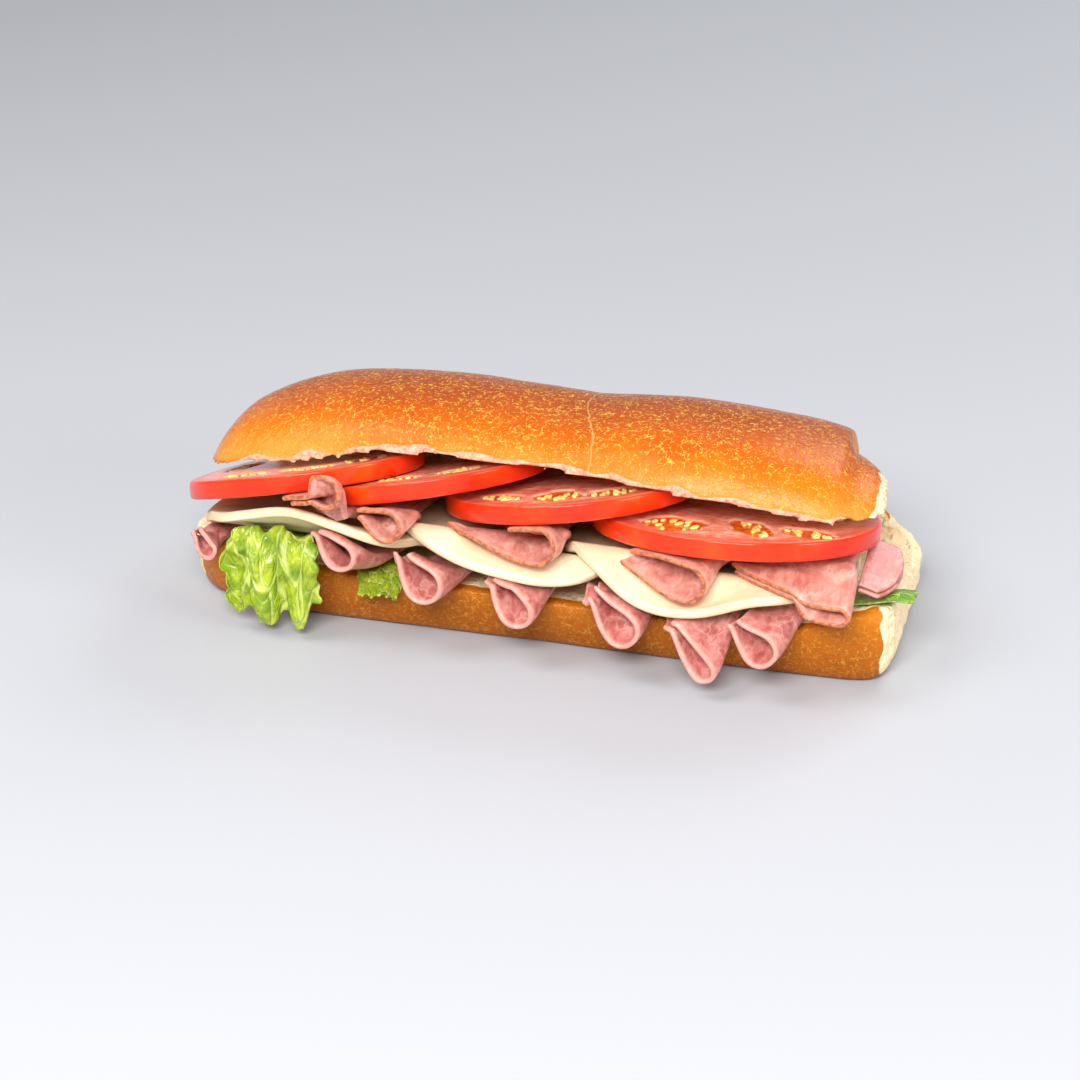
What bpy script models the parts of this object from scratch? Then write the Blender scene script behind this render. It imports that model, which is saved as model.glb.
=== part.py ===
# Submarine sandwich: a long soft roll cut open along one side and filled with
# lettuce, folded ham, round cheese slices and tomato slices.
# Metres, +Z up. X runs along the roll, -Y is the open side, and the origin is the
# middle of the flat underside of the roll.

import math

import bmesh
import bpy
import numpy as np

MM = 0.001

# Driving dimensions of the roll, in millimetres
ROLL_TOP = 65.6
ROLL_HALF_WIDTH = 38.0
ROLL_BASE_HALF_WIDTH = 32.7
RING_MIDDLE_Z = 30.0
CROWN_Y = -8.0
LEFT_LEAN = 3.0
RIGHT_LEAN = 6.5
HINGE_LEAN = 9.0
FRONT_ROUNDNESS = 3.0
BACK_ROUNDNESS = 2.1
FLANK_ROUNDNESS = 2.2
DOME_POINTS = 10
FLANK_POINTS = 6

# The wedge that the knife opened, from its open side at -Y to the hinge at +Y
CUT_FRONT_Y = -70.0
LIP_Y = -35.5
HINGE_Y = 29.0
CUT_OVERRUN = 130.0
FLOOR_AT_HINGE = 12.0
SHELF_Y = -30.0
FLOOR_END_Y = 23.0
LIP_CURL = 2.0

# Thickness of the fillings, in millimetres
HAM_THICKNESS = 1.2
CHEESE_THICKNESS = 2.8
TOMATO_THICKNESS = 6.0
LEAF_THICKNESS = 0.7

# The fillings fan out from the hinge: heights of each layer over the lip and at the back
FAN_FRONT_Y = -38.0
FAN_BACK_Y = 20.0
LOWER_HAM_FAN = (22.3, 15.2)
CHEESE_FAN = (25.6, 18.7)
UPPER_HAM_FAN = (36.5, 24.0)
SLICE_STEP = 3.3
HAM_RIM_RADIUS = 52.0
PLY_GAP = 0.9

CRUST = (0.55, 0.22, 0.05, 1.0)
TOMATO_RED = (0.70, 0.05, 0.02, 1.0)
CHEESE_CREAM = (0.87, 0.78, 0.55, 1.0)
HAM_PINK = (0.72, 0.31, 0.29, 1.0)
LEAF_GREEN = (0.30, 0.52, 0.05, 1.0)


def smooth(t):
    """Ease from 0 to 1."""
    t = min(1.0, max(0.0, t))
    return t * t * (3.0 - 2.0 * t)


def mix(a, b, t):
    return a + (b - a) * t


def curve(stations, x):
    """Smooth curve through (x, value) stations, level beyond its ends."""
    xs = [s[0] for s in stations]
    vs = [s[1] for s in stations]
    if x <= xs[0]:
        return vs[0]
    if x >= xs[-1]:
        return vs[-1]
    i = next(k for k in range(len(xs) - 1) if x < xs[k + 1])
    last = len(xs) - 1
    before = max(i - 1, 0)
    after = min(i + 2, last)
    span = xs[i + 1] - xs[i]
    t = (x - xs[i]) / span
    slope_a = (vs[i + 1] - vs[before]) / (xs[i + 1] - xs[before]) * span
    slope_b = (vs[after] - vs[i]) / (xs[after] - xs[i]) * span
    h = t * t * (3.0 - 2.0 * t)
    return (
        mix(vs[i], vs[i + 1], h)
        + t * (1.0 - t) ** 2 * slope_a
        - t * t * (1.0 - t) * slope_b
    )


def fan(layer, y):
    """Height of a layer at depth y: straight lines that meet near the hinge."""
    return mix(layer[0], layer[1], (y - FAN_FRONT_Y) / (FAN_BACK_Y - FAN_FRONT_Y))


def material(name, colour, roughness):
    found = bpy.data.materials.new(name)
    found.use_nodes = True
    shader = found.node_tree.nodes["Principled BSDF"]
    shader.inputs["Base Color"].default_value = colour
    shader.inputs["Roughness"].default_value = roughness
    return found


def add_object(name, bm, collection, look):
    mesh = bpy.data.meshes.new(name)
    bm.to_mesh(mesh)
    bm.free()
    mesh.shade_smooth()
    mesh.materials.append(look)
    obj = bpy.data.objects.new(name, mesh)
    collection.objects.link(obj)
    return obj


def loft(name, rings, collection, look):
    """Closed body through rings of points, with flat caps."""
    bm = bmesh.new()
    rows = [[bm.verts.new(p * MM) for p in ring] for ring in rings]
    count = len(rows[0])
    for row, following in zip(rows, rows[1:]):
        for k in range(count):
            n = (k + 1) % count
            bm.faces.new((row[k], row[n], following[n], following[k]))
    bm.faces.new(rows[0])
    bm.faces.new(rows[-1])
    bmesh.ops.recalc_face_normals(bm, faces=bm.faces)
    bmesh.ops.triangulate(bm, faces=bm.faces)
    return add_object(name, bm, collection, look)


def sheet(name, across, along, place, thickness, collection, look):
    """Soft sheet: a grid whose points are put in place by a function, then thickened."""
    bm = bmesh.new()
    bmesh.ops.create_grid(bm, x_segments=across, y_segments=along, size=1.0)
    for vert in bm.verts:
        vert.co = place(vert.co.x, vert.co.y) * MM
    bmesh.ops.triangulate(bm, faces=bm.faces)
    obj = add_object(name, bm, collection, look)
    skin = obj.modifiers.new("thickness", "SOLIDIFY")
    skin.thickness = thickness * MM
    skin.offset = 0.0
    return obj


# Roll

ROLL_HEIGHT = ((-107, 24.0), (-105.5, 32.0), (-102.5, 39.0), (-96, 47.5), (-86, 54.5), (-73, 60.2),
               (-56, 63.8), (-36, 65.6), (-10, 65.0), (12, 63.4), (16, 63.6), (40, 65.3), (62, 64.4),
               (78, 62.2), (90, 59.2), (99, 54.8), (105, 52.5), (109, 49.0))
ROLL_WIDTH = ((-107, 9.0), (-105.5, 17.0), (-102.5, 23.5), (-96, 29.5), (-86, 34.0), (-70, 37.2),
              (-45, 38.0), (0, 37.6), (60, 38.0), (92, 37.4), (100, 36.4), (105, 34.0),
              (108, 30.0), (109, 27.0))
ROLL_BOTTOM = ((-107, 14.0), (-105.5, 8.0), (-102.5, 3.2), (-98, 0.6), (-94, 0.0), (102, 0.0),
               (106, 1.2), (108, 3.6), (109, 6.0))
LIP_Z = ((-112, 33.0), (-102, 37.5), (-91, 41.6), (-78, 45.9), (-66, 49.0), (-51, 52.4), (-37, 54.4),
         (-20, 54.4), (-6, 53.8), (29, 52.8), (64, 51.0), (80, 49.0), (98, 46.4), (130, 45.0))
ROOF_AT_HINGE = ((-112, 27.0), (-96, 33.0), (-80, 38.5), (130, 38.5))
SHELF_Z = ((-110, 17.6), (-84, 18.0), (-62, 17.0), (-11, 16.2), (43, 15.2), (75, 15.6),
           (88, 18.6), (97, 22.5), (130, 23.5))


def quarter(angle, roundness):
    """Across and up shares of a rounded quarter, from its side at 0 to its top."""
    across = max(0.0, math.cos(angle)) ** (2.0 / roundness)
    up = max(0.0, math.sin(angle)) ** (2.0 / roundness)
    return across, up


def end_lean(x, y, z):
    """The upper half of the roll is a little shorter than the lower at both ends."""
    upper = smooth((z - 14.0) / 26.0)
    hinge = smooth((z - 12.0) / 14.0) * smooth((y + 10.0) / 30.0)
    right = (RIGHT_LEAN * upper + HINGE_LEAN * hinge) * smooth((x - 86.0) / 18.0)
    left = LEFT_LEAN * smooth((z - 22.0) / 14.0) * smooth((-88.0 - x) / 16.0)
    return left - right


def roll_ring(x):
    """Outline of the roll at x: a crown towards the open side, upright flanks, a flat base."""
    top = curve(ROLL_HEIGHT, x)
    wide = curve(ROLL_WIDTH, x)
    bottom = max(0.0, curve(ROLL_BOTTOM, x))
    base = wide * ROLL_BASE_HALF_WIDTH / ROLL_HALF_WIDTH
    crown = CROWN_Y * wide / ROLL_HALF_WIDTH
    middle = mix(bottom, top, RING_MIDDLE_Z / ROLL_TOP)
    quarter_turn = math.pi / 2.0
    outline = []
    for k in range(DOME_POINTS):
        across, up = quarter(quarter_turn * k / DOME_POINTS, BACK_ROUNDNESS)
        outline.append((crown + (wide - crown) * across, middle + (top - middle) * up))
    for k in range(DOME_POINTS):
        across, up = quarter(quarter_turn * (1.0 - k / DOME_POINTS), FRONT_ROUNDNESS)
        outline.append((crown - (wide + crown) * across, middle + (top - middle) * up))
    flank = []
    for k in range(FLANK_POINTS + 1):
        across, up = quarter(quarter_turn * k / FLANK_POINTS, FLANK_ROUNDNESS)
        flank.append((base + (wide - base) * across, middle - (middle - bottom) * up))
    outline += [(-y, z) for y, z in flank]
    outline += [(base * share, bottom) for share in (-0.5, 0.0, 0.5)]
    outline += flank[:0:-1]
    return [np.array((x + end_lean(x, y, z), y, z)) for y, z in outline]


def roll_stations():
    ends = [-107, -106.4, -105, -102.5, -99, -94, -87, -78]
    body = [-66, -52, -38, -24, -10, 2, 8, 11.5, 13.5, 15.5, 19, 26, 38, 50, 62, 74]
    right = [84, 92, 98, 102.5, 105.5, 107.5, 108.6, 109]
    return ends + body + right


def floor_height(x, y):
    """Height of the cut face of the lower half, level at the lip and sinking to the hinge."""
    share = min(1.0, max(0.0, (y - SHELF_Y) / (FLOOR_END_Y - SHELF_Y)))
    return mix(curve(SHELF_Z, x), FLOOR_AT_HINGE, share)


def cut_ring(x):
    """Outline of the wedge at x, from the open side to the rounded hinge."""
    lip = curve(LIP_Z, x)
    shelf = curve(SHELF_Z, x)
    roof = curve(ROOF_AT_HINGE, x)
    ring = [
        (CUT_FRONT_Y, shelf - 2.0),
        (-46.0, shelf - 1.0),
        (-36.5, shelf - 0.4),
        (SHELF_Y, shelf),
        (-10.0, floor_height(x, -10.0)),
        (FLOOR_END_Y, FLOOR_AT_HINGE),
        (HINGE_Y - 1.2, FLOOR_AT_HINGE + 4.0),
        (HINGE_Y, mix(FLOOR_AT_HINGE, roof, 0.5)),
        (HINGE_Y - 1.5, roof - 5.0),
        (HINGE_Y - 7.0, roof),
        (8.0, mix(roof, lip, 0.50)),
        (-12.0, mix(roof, lip, 0.86)),
        (-31.0, lip + LIP_CURL),
        (LIP_Y, lip),
        (-40.0, lip + 1.5),
        (CUT_FRONT_Y, lip + 9.0),
    ]
    return [np.array((x, y, z)) for y, z in ring]


def build_roll(parts, cutters, look):
    roll = loft("bread_roll", [roll_ring(x) for x in roll_stations()], parts, look)
    stations = [-CUT_OVERRUN, -110, -98, -84, -66, -50, -30, 0, 30, 60, 80, 97, 112, CUT_OVERRUN]
    wedge = loft("cut_wedge", [cut_ring(x) for x in stations], cutters, look)
    wedge.hide_render = True
    wedge.display_type = "WIRE"
    cut = roll.modifiers.new("opened", "BOOLEAN")
    cut.operation = "DIFFERENCE"
    cut.object = wedge
    return roll


# Tomato slices: centre of the upper face, half sizes, slopes along X and Y, sag of the left end

TOMATOES = {
    "tomato_1": dict(centre=(-69.0, -17.0, 41.7), half=(35.0, 33.5), slope=(0.22, -0.30), sag=3.0),
    "tomato_2": dict(centre=(-33.0, -12.0, 42.0), half=(35.0, 33.5), slope=(0.235, -0.29), sag=0.0),
    "tomato_3": dict(centre=(10.5, -11.0, 42.0), half=(37.0, 36.5), slope=(0.17, -0.25), sag=0.0),
    "tomato_4": dict(centre=(60.0, -14.5, 39.7), half=(41.5, 36.5), slope=(0.035, -0.24), sag=0.0),
}
TOMATO_SIDES = 28
TOMATO_EDGE = 0.9


def tomato_top(shape, x, y):
    """Height of the upper face of a slice over or beyond its outline."""
    dx = x - shape["centre"][0]
    dy = y - shape["centre"][1]
    droop = max(0.0, -dx / shape["half"][0] - 0.25) ** 2
    return shape["centre"][2] + shape["slope"][0] * dx + shape["slope"][1] * dy - shape["sag"] * droop


def within(centre, half, x, y, roundness, margin):
    dx = abs(x - centre[0]) / (half[0] + margin[0])
    dy = abs(y - centre[1]) / (half[1] + margin[1])
    return dx ** roundness + dy ** roundness <= 1.0


def build_tomato(name, shape, collection, look):
    bm = bmesh.new()
    edge = TOMATO_EDGE / shape["half"][0]
    rims = ((0.0, 0.0), (0.62, 0.0), (1.0 - edge, 0.0), (1.0, -TOMATO_EDGE),
            (1.0, TOMATO_EDGE - TOMATO_THICKNESS), (1.0 - edge, -TOMATO_THICKNESS),
            (0.62, -TOMATO_THICKNESS), (0.0, -TOMATO_THICKNESS))
    profile = [bm.verts.new((share, 0.0, z)) for share, z in rims]
    edges = [bm.edges.new(pair) for pair in zip(profile, profile[1:])]
    bmesh.ops.spin(bm, geom=profile + edges, axis=(0, 0, 1), cent=(0, 0, 0),
                   steps=TOMATO_SIDES, angle=2.0 * math.pi)
    bmesh.ops.remove_doubles(bm, verts=bm.verts, dist=0.001)
    for vert in bm.verts:
        angle = math.atan2(vert.co.y, vert.co.x)
        lobes = 1.0 + 0.012 * math.cos(3.0 * angle + shape["centre"][0])
        x = shape["centre"][0] + shape["half"][0] * lobes * vert.co.x
        y = shape["centre"][1] + shape["half"][1] * lobes * vert.co.y
        vert.co = (x * MM, y * MM, (tomato_top(shape, x, y) + vert.co.z) * MM)
    bmesh.ops.recalc_face_normals(bm, faces=bm.faces)
    return add_object(name, bm, collection, look)


# Cheese slices: middle, half sizes, X where the slice steps up over its neighbour,
# and the height of its hanging front edge along X

CHEESE_FRONT_Y = -48.0
CHEESE_ROUNDNESS = 2.7
CHEESE_HUMP = 5.6
FRONT_STEP = 0.9
CHEESES = {
    "cheese_1": dict(middle=(-59.5, -11.5), half=(39.5, 36.5), step_x=None, tail=0.6,
                     edge=((-100, 31.4), (-90, 33.4), (-78, 37.0), (-64, 39.8), (-52, 37.4),
                           (-32, 31.0), (-16, 29.0))),
    "cheese_2": dict(middle=(-1.5, -12.0), half=(37.5, 36.5), step_x=-9.5, tail=0.0,
                     edge=((-40, 36.0), (-26, 33.4), (-9, 29.6), (6, 27.2), (16, 26.6), (26, 26.0))),
    "cheese_3": dict(middle=(53.0, -12.5), half=(42.0, 37.5), step_x=46.5, tail=0.0,
                     edge=((10, 36.8), (24, 32.5), (37, 25.5), (46, 23.4), (56, 24.2), (73, 29.2),
                           (95, 27.0))),
}


def cheese_height(shape, x, y):
    """Height of the middle of a slice, which rests on the layer below and hangs at the front."""
    inward = max(y, FAN_FRONT_Y) - FAN_FRONT_Y
    z = fan(CHEESE_FAN, FAN_FRONT_Y + inward) + CHEESE_HUMP * math.exp(-inward / 8.0)
    z -= shape["tail"] * smooth((-84.0 - x) / 18.0)
    if shape["step_x"] is not None:
        step = SLICE_STEP + FRONT_STEP * math.exp(-inward / 8.0)
        z += step * smooth((shape["step_x"] - x) / 9.0)
    hang = (FAN_FRONT_Y - y) / (FAN_FRONT_Y - CHEESE_FRONT_Y)
    return mix(z, curve(shape["edge"], x), smooth((hang + 0.2) / 1.2))


def build_cheese(name, shape, collection, look):
    def place(u, v):
        across = u * math.sqrt(1.0 - v * v / 2.0)
        deep = v * math.sqrt(1.0 - u * u / 2.0)
        reach = math.hypot(across, deep)
        if reach > 0.0:
            n = CHEESE_ROUNDNESS
            squarer = (abs(across / reach) ** n + abs(deep / reach) ** n) ** (-1.0 / n)
            across *= squarer
            deep *= squarer
        x = shape["middle"][0] + shape["half"][0] * across
        y = shape["middle"][1] + shape["half"][1] * deep
        return np.array((x, y, cheese_height(shape, x, y)))

    return sheet(name, 16, 11, place, CHEESE_THICKNESS, collection, look)


# What lies above and below a soft slice

CLEARANCE = 0.5


def shelf_height(x, y):
    """Height of the lower half of the roll, or far below it beyond the open side."""
    if y < -ROLL_HALF_WIDTH - 1.5 or abs(x) > 112.0:
        return -100.0
    on_leaf = LEAF_BED[0] < x < LEAF_BED[1] and y < LEAF_BED[2]
    cover = LEAF_THICKNESS + CLEARANCE if on_leaf else 0.0
    return floor_height(x, y) + cover


def steepness(shape, x, y):
    """How much taller a cheese slice measures along Z than across its own thickness."""
    here = cheese_height(shape, x, y)
    return math.hypot(1.0, cheese_height(shape, x + 1.0, y) - here, cheese_height(shape, x, y + 1.0) - here)


def cheese_range(x, y, margin):
    """Lowest and highest place for a ham slice that passes under or over the cheese."""
    found = [shape for shape in CHEESES.values()
             if within(shape["middle"], shape["half"], x, y, CHEESE_ROUNDNESS, margin)]
    if not found:
        return 100.0, -100.0
    heights = [cheese_height(shape, x, y) for shape in found]
    half = (CHEESE_THICKNESS + HAM_THICKNESS) / 2.0
    steep = max(steepness(shape, x, y) for shape in found)
    return min(heights) - half * steep, max(heights) + half * steep


def tomato_under(x, y, margin):
    found = [tomato_top(shape, x, y) for shape in TOMATOES.values()
             if within(shape["centre"], shape["half"], x, y, 2.0, margin)]
    return min(found, default=100.0 + TOMATO_THICKNESS) - TOMATO_THICKNESS


def room_for(layer, x, y):
    """Lowest and highest place for the middle of a soft slice in its layer."""
    under, over = cheese_range(x, y, (4.0, 4.0))
    spare = CLEARANCE + HAM_THICKNESS / 2.0
    if layer is LOWER_HAM_FAN:
        return shelf_height(x, y) + spare, under - CLEARANCE
    return over + CLEARANCE, tomato_under(x, y, (3.0, 7.0)) - spare


# Folded ham slices. Each is one slice doubled over: a bend with a lower and an upper ply.
# tip: the bend at the mouth; lie: slope angle of the plies at the mouth, in degrees;
# plies: lengths of the lower and upper ply; puff: half the width of the loop at the mouth;
# pinch: half the distance between the ends of the plies at the mouth; drift: how far
# the bend runs to the right on its way in; home: where it ends up, if not there;
# inner: share of the plies' length left inside; into: how far back the slice reaches;
# above: extra height over the cheese

LOWER_HAM = {
    "ham_lower_1": dict(tip=(-91.0, -42.0, 19.0), lie=118, plies=(9.5, 9.0), puff=2.6, pinch=1.4,
                        drift=3.0, into=-20.0),
    "ham_lower_2": dict(tip=(-45.5, -51.0, 26.0), lie=134, plies=(16.0, 14.5), puff=4.4, pinch=1.0,
                        drift=11.0),
    "ham_lower_3": dict(tip=(-20.5, -51.0, 18.8), lie=128, plies=(18.0, 15.0), puff=5.4, pinch=1.6,
                        drift=12.0),
    "ham_lower_4": dict(tip=(6.0, -51.0, 14.2), lie=123, plies=(21.0, 19.0), puff=4.6, pinch=1.0,
                        drift=12.0),
    "ham_lower_5": dict(tip=(37.5, -51.0, 12.8), lie=131, plies=(22.0, 19.0), puff=5.0, pinch=1.2,
                        drift=9.5),
    "ham_lower_6": dict(tip=(60.5, -54.5, 6.2), lie=127, plies=(22.0, 21.0), puff=3.2, pinch=1.0,
                        drift=9.0),
    "ham_lower_7": dict(tip=(77.5, -53.0, 13.4), lie=138, plies=(15.5, 15.0), puff=4.8, pinch=1.4,
                        drift=11.0, into=12.0),
}
UPPER_HAM = {
    "ham_upper_1": dict(tip=(-46.0, -55.5, 50.6), lie=176, plies=(15.0, 18.0), puff=4.8, pinch=1.1,
                        drift=0.0, home=-3.0, inner=0.6, into=-20.0),
    "ham_upper_2": dict(tip=(-30.5, -49.5, 38.2), lie=163, plies=(13.0, 14.0), puff=4.8, pinch=1.1,
                        drift=6.0, home=-2.0, into=4.0, above=0.25),
    "ham_upper_3": dict(tip=(14.5, -49.5, 38.4), lie=175, plies=(34.0, 14.0), puff=6.2, pinch=3.6,
                        drift=5.0, home=-2.5, inner=0.55, into=14.0),
    "ham_upper_4": dict(tip=(57.5, -50.5, 31.6), lie=164, plies=(25.0, 24.0), puff=5.8, pinch=3.2,
                        drift=5.0, home=8.0, inner=0.6, into=14.0, above=0.7),
    "ham_upper_5": dict(tip=(98.0, -50.0, 28.6), lie=181, plies=(34.0, 35.0), puff=2.4, pinch=1.6,
                        drift=0.0, home=-2.5),
}
LOWER_HAM_ACROSS = 16
UPPER_HAM_ACROSS = 16
HAM_ALONG = 6
BEND_SHARE = 0.4
SETTLE_Y = -33.0
INNER_SHARE = 0.8
HOMING_Y = (-40.0, -25.0)


def fold_section(u, plies, puff, pinch):
    """Point on the doubled slice, from the end of one ply round the bend to the other."""
    t = abs(u)
    length = plies[0] if u < 0.0 else plies[1]
    if t < BEND_SHARE:
        angle = t / BEND_SHARE * math.pi / 2.0
        out = puff * (1.0 - math.cos(angle))
        off = puff * math.sin(angle)
    else:
        w = (t - BEND_SHARE) / (1.0 - BEND_SHARE)
        out = mix(puff, length, w)
        off = mix(puff, pinch, smooth(w))
    return out, math.copysign(off, u)


def build_fold(name, layer, collection, look, tip, lie, plies, puff, pinch, drift,
               home=None, inner=INNER_SHARE, into=FAN_BACK_Y, above=0.0):
    """Slice doubled over, its mouth hanging out at the front and its rest lying flat inside."""
    def place(u, v):
        depth = (v + 1.0) / 2.0
        y = mix(tip[1], into, depth ** 1.35)
        settled = smooth((y - tip[1]) / (SETTLE_Y - tip[1]))
        lengths = [length * mix(1.0, inner, settled) for length in plies]
        out, off = fold_section(u, lengths, mix(puff, PLY_GAP, settled), mix(pinch, PLY_GAP, settled))
        angle = math.radians(mix(lie, 180.0, settled))
        sideways = drift * (1.0 - math.exp(-(y - tip[1]) / 22.0))
        if home is not None:
            sideways = mix(sideways, home, smooth((y - HOMING_Y[0]) / (HOMING_Y[1] - HOMING_Y[0])))
        bend_x = tip[0] + sideways
        bend_z = mix(tip[2], fan(layer, max(y, SETTLE_Y)), settled)
        x = bend_x + out * math.cos(angle) + off * math.sin(angle)
        z = bend_z + out * math.sin(angle) - off * math.cos(angle)
        y += out * out / (2.0 * HAM_RIM_RADIUS) * (1.0 - depth)
        lowest, highest = room_for(layer, x, y)
        rank = math.sin(min(1.0, abs(u) / BEND_SHARE) * math.pi / 2.0) * math.copysign(1.0, u)
        lowest += PLY_GAP * (rank + 1.0) + above
        highest -= PLY_GAP * (1.0 - rank)
        z = max(min(z, highest), lowest) if rank < 0.0 else min(max(z, lowest), highest)
        return np.array((x, y, z))

    across = LOWER_HAM_ACROSS if layer is LOWER_HAM_FAN else UPPER_HAM_ACROSS
    return sheet(name, across, HAM_ALONG, place, HAM_THICKNESS, collection, look)


END_FLAP_Y = (-7.0, -31.0)


def build_end_flap(collection, look):
    """Ham slice that sticks out at the right end, its rounded end drooping over the crumb."""
    def place(u, v):
        out, off = fold_section(u, (24.0, 24.0), PLY_GAP, PLY_GAP)
        share = out / 24.0
        t = (v + 1.0) / 2.0
        x = mix(97.8, 108.5, t) - 9.0 * (share - 0.4) ** 2 * t
        y = mix(END_FLAP_Y[0], END_FLAP_Y[1], share)
        z = 32.0 - 3.2 * smooth((x - 96.0) / 14.0) - 3.0 * smooth(share)
        return np.array((x, y, z + off))

    return sheet("ham_lower_8", LOWER_HAM_ACROSS, 5, place, HAM_THICKNESS, collection, look)


# Lettuce: leaves with a ruffled free edge

LEAF_BED = (-56.0, -30.0, -14.0)


def ruffle(u, v, waves, turn):
    return math.sin(waves * u + turn) * 0.6 + math.sin(1.7 * waves * u - 2.2 * v + 2.0 * turn) * 0.4


def build_front_leaf(collection, look):
    """Leaf that comes out over the lip and hangs down the front of the roll."""
    fall = ((0.0, 8.0, 19.0), (0.30, -18.0, 22.0), (0.50, -37.0, 27.0), (0.60, -44.0, 31.0),
            (0.70, -48.5, 26.0), (0.85, -49.5, 14.0), (1.0, -48.0, 3.4))
    line_y = [(t, y) for t, y, z in fall]
    line_z = [(t, z) for t, y, z in fall]

    def place(u, v):
        t = (v + 1.0) / 2.0
        free = smooth((t - 0.45) / 0.35)
        jag = 0.05 * math.sin(9.0 * u) + 0.10 * u * u
        along = t * (1.0 - jag * free)
        x = -71.0 + u * mix(8.5, 14.0, free) + 4.0 * free * (t - 0.5)
        wave = ruffle(u, v, 7.0, 0.8) * mix(0.4, 2.0, free)
        y = curve(line_y, along) + wave * free
        z = curve(line_z, along) + wave * (1.0 - free)
        under, over = cheese_range(x, y, (2.5, 2.5))
        spare = CLEARANCE + LEAF_THICKNESS / 2.0
        z = max(min(z, under - spare), shelf_height(x, y) + spare)
        return np.array((x, y, z))

    return sheet("lettuce_1", 14, 12, place, LEAF_THICKNESS, collection, look)


def build_shelf_leaf(collection, look):
    """Small leaf that shows under the second lower ham slice."""
    def place(u, v):
        t = (v + 1.0) / 2.0
        y = mix(-20.0, -45.0, t)
        x = -43.0 + 8.5 * u * (1.0 - 0.35 * t * t) + 4.0 * t
        over = smooth((-36.0 - y) / 8.0)
        z = floor_height(x, y) + CLEARANCE + LEAF_THICKNESS / 2.0 - 2.2 * over + ruffle(u, v, 4.0, 0.3) * 0.8 * over
        return np.array((x, y, z))

    return sheet("lettuce_2", 8, 7, place, LEAF_THICKNESS, collection, look)


def build_end_leaf(collection, look):
    """Leaf that shows under the ham at the right end."""
    def place(u, v):
        t = (v + 1.0) / 2.0
        x = mix(92.0, 113.0, t)
        y = -22.0 + 10.0 * u * (1.0 - 0.4 * t)
        out = smooth((x - 100.0) / 10.0)
        z = floor_height(x, y) + CLEARANCE + LEAF_THICKNESS / 2.0 + 0.9 * out + ruffle(u, v, 5.0, 1.4) * out
        return np.array((x, y, z))

    return sheet("lettuce_3", 8, 7, place, LEAF_THICKNESS, collection, look)


def main():
    for obj in list(bpy.data.objects):
        bpy.data.objects.remove(obj, do_unlink=True)
    parts = bpy.data.collections.new("submarine_sandwich")
    cutters = bpy.data.collections.new("cutters")
    bpy.context.scene.collection.children.link(parts)
    bpy.context.scene.collection.children.link(cutters)

    crust = material("crust", CRUST, 0.55)
    tomato = material("tomato", TOMATO_RED, 0.25)
    cheese = material("cheese", CHEESE_CREAM, 0.45)
    ham = material("ham", HAM_PINK, 0.40)
    leaf = material("lettuce", LEAF_GREEN, 0.40)

    build_roll(parts, cutters, crust)
    for name, shape in TOMATOES.items():
        build_tomato(name, shape, parts, tomato)
    for name, shape in CHEESES.items():
        build_cheese(name, shape, parts, cheese)
    for name, shape in LOWER_HAM.items():
        build_fold(name, LOWER_HAM_FAN, parts, ham, **shape)
    for name, shape in UPPER_HAM.items():
        build_fold(name, UPPER_HAM_FAN, parts, ham, **shape)
    build_end_flap(parts, ham)
    build_front_leaf(parts, leaf)
    build_shelf_leaf(parts, leaf)
    build_end_leaf(parts, leaf)


main()
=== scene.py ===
# Looks of a submarine sandwich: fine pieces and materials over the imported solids
# Sizes below are in millimetres unless a name says otherwise; the scene is in metres.

import math
import random

import bmesh
import bpy
import numpy as np
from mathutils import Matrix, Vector, noise
from mathutils.bvhtree import BVHTree


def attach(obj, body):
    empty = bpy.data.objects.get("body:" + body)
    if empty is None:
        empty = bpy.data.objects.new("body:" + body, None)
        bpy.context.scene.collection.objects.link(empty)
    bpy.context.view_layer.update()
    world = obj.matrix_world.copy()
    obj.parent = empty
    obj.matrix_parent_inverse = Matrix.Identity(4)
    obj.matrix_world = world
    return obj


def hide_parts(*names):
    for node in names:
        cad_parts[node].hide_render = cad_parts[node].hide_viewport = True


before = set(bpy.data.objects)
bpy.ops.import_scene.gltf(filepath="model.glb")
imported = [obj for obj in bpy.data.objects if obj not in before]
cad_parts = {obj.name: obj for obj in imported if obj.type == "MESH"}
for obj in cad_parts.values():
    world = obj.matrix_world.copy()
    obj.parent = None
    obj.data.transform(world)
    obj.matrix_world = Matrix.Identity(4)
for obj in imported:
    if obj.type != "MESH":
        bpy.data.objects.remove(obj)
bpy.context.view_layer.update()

MM = 0.001
SEED = 7
BODY = "root"

# Camera at the photograph's viewing angle
CAMERA_LENS = 91.67
CAMERA_PITCH = math.radians(26.5)
CAMERA_YAW = math.radians(14.93)
CAMERA_DISTANCE = 0.859
LOOK_AT = Vector((-0.0105, 0.031, 0.0))

# Driving dimensions of the roll
ROLL_TOP = 65.6
ROLL_HALF_WIDTH = 38.0
ROLL_BASE_HALF_WIDTH = 32.7
RING_MIDDLE_Z = 30.0
CROWN_Y = -8.0
LEFT_LEAN = 3.0
RIGHT_LEAN = 6.5
HINGE_LEAN = 9.0
FRONT_ROUNDNESS = 3.0
BACK_ROUNDNESS = 2.1
FLANK_ROUNDNESS = 2.2
DOME_POINTS = 30
FLANK_POINTS = 18
RING_STEP = 2.2
ROLL_ENDS = (-107.0, 109.0)

CUT_FRONT_Y = -70.0
LIP_Y = -35.5
HINGE_Y = 29.0
CUT_OVERRUN = 130.0
FLOOR_AT_HINGE = 12.0
SHELF_Y = -30.0
FLOOR_END_Y = 23.0
LIP_CURL = 2.0

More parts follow.
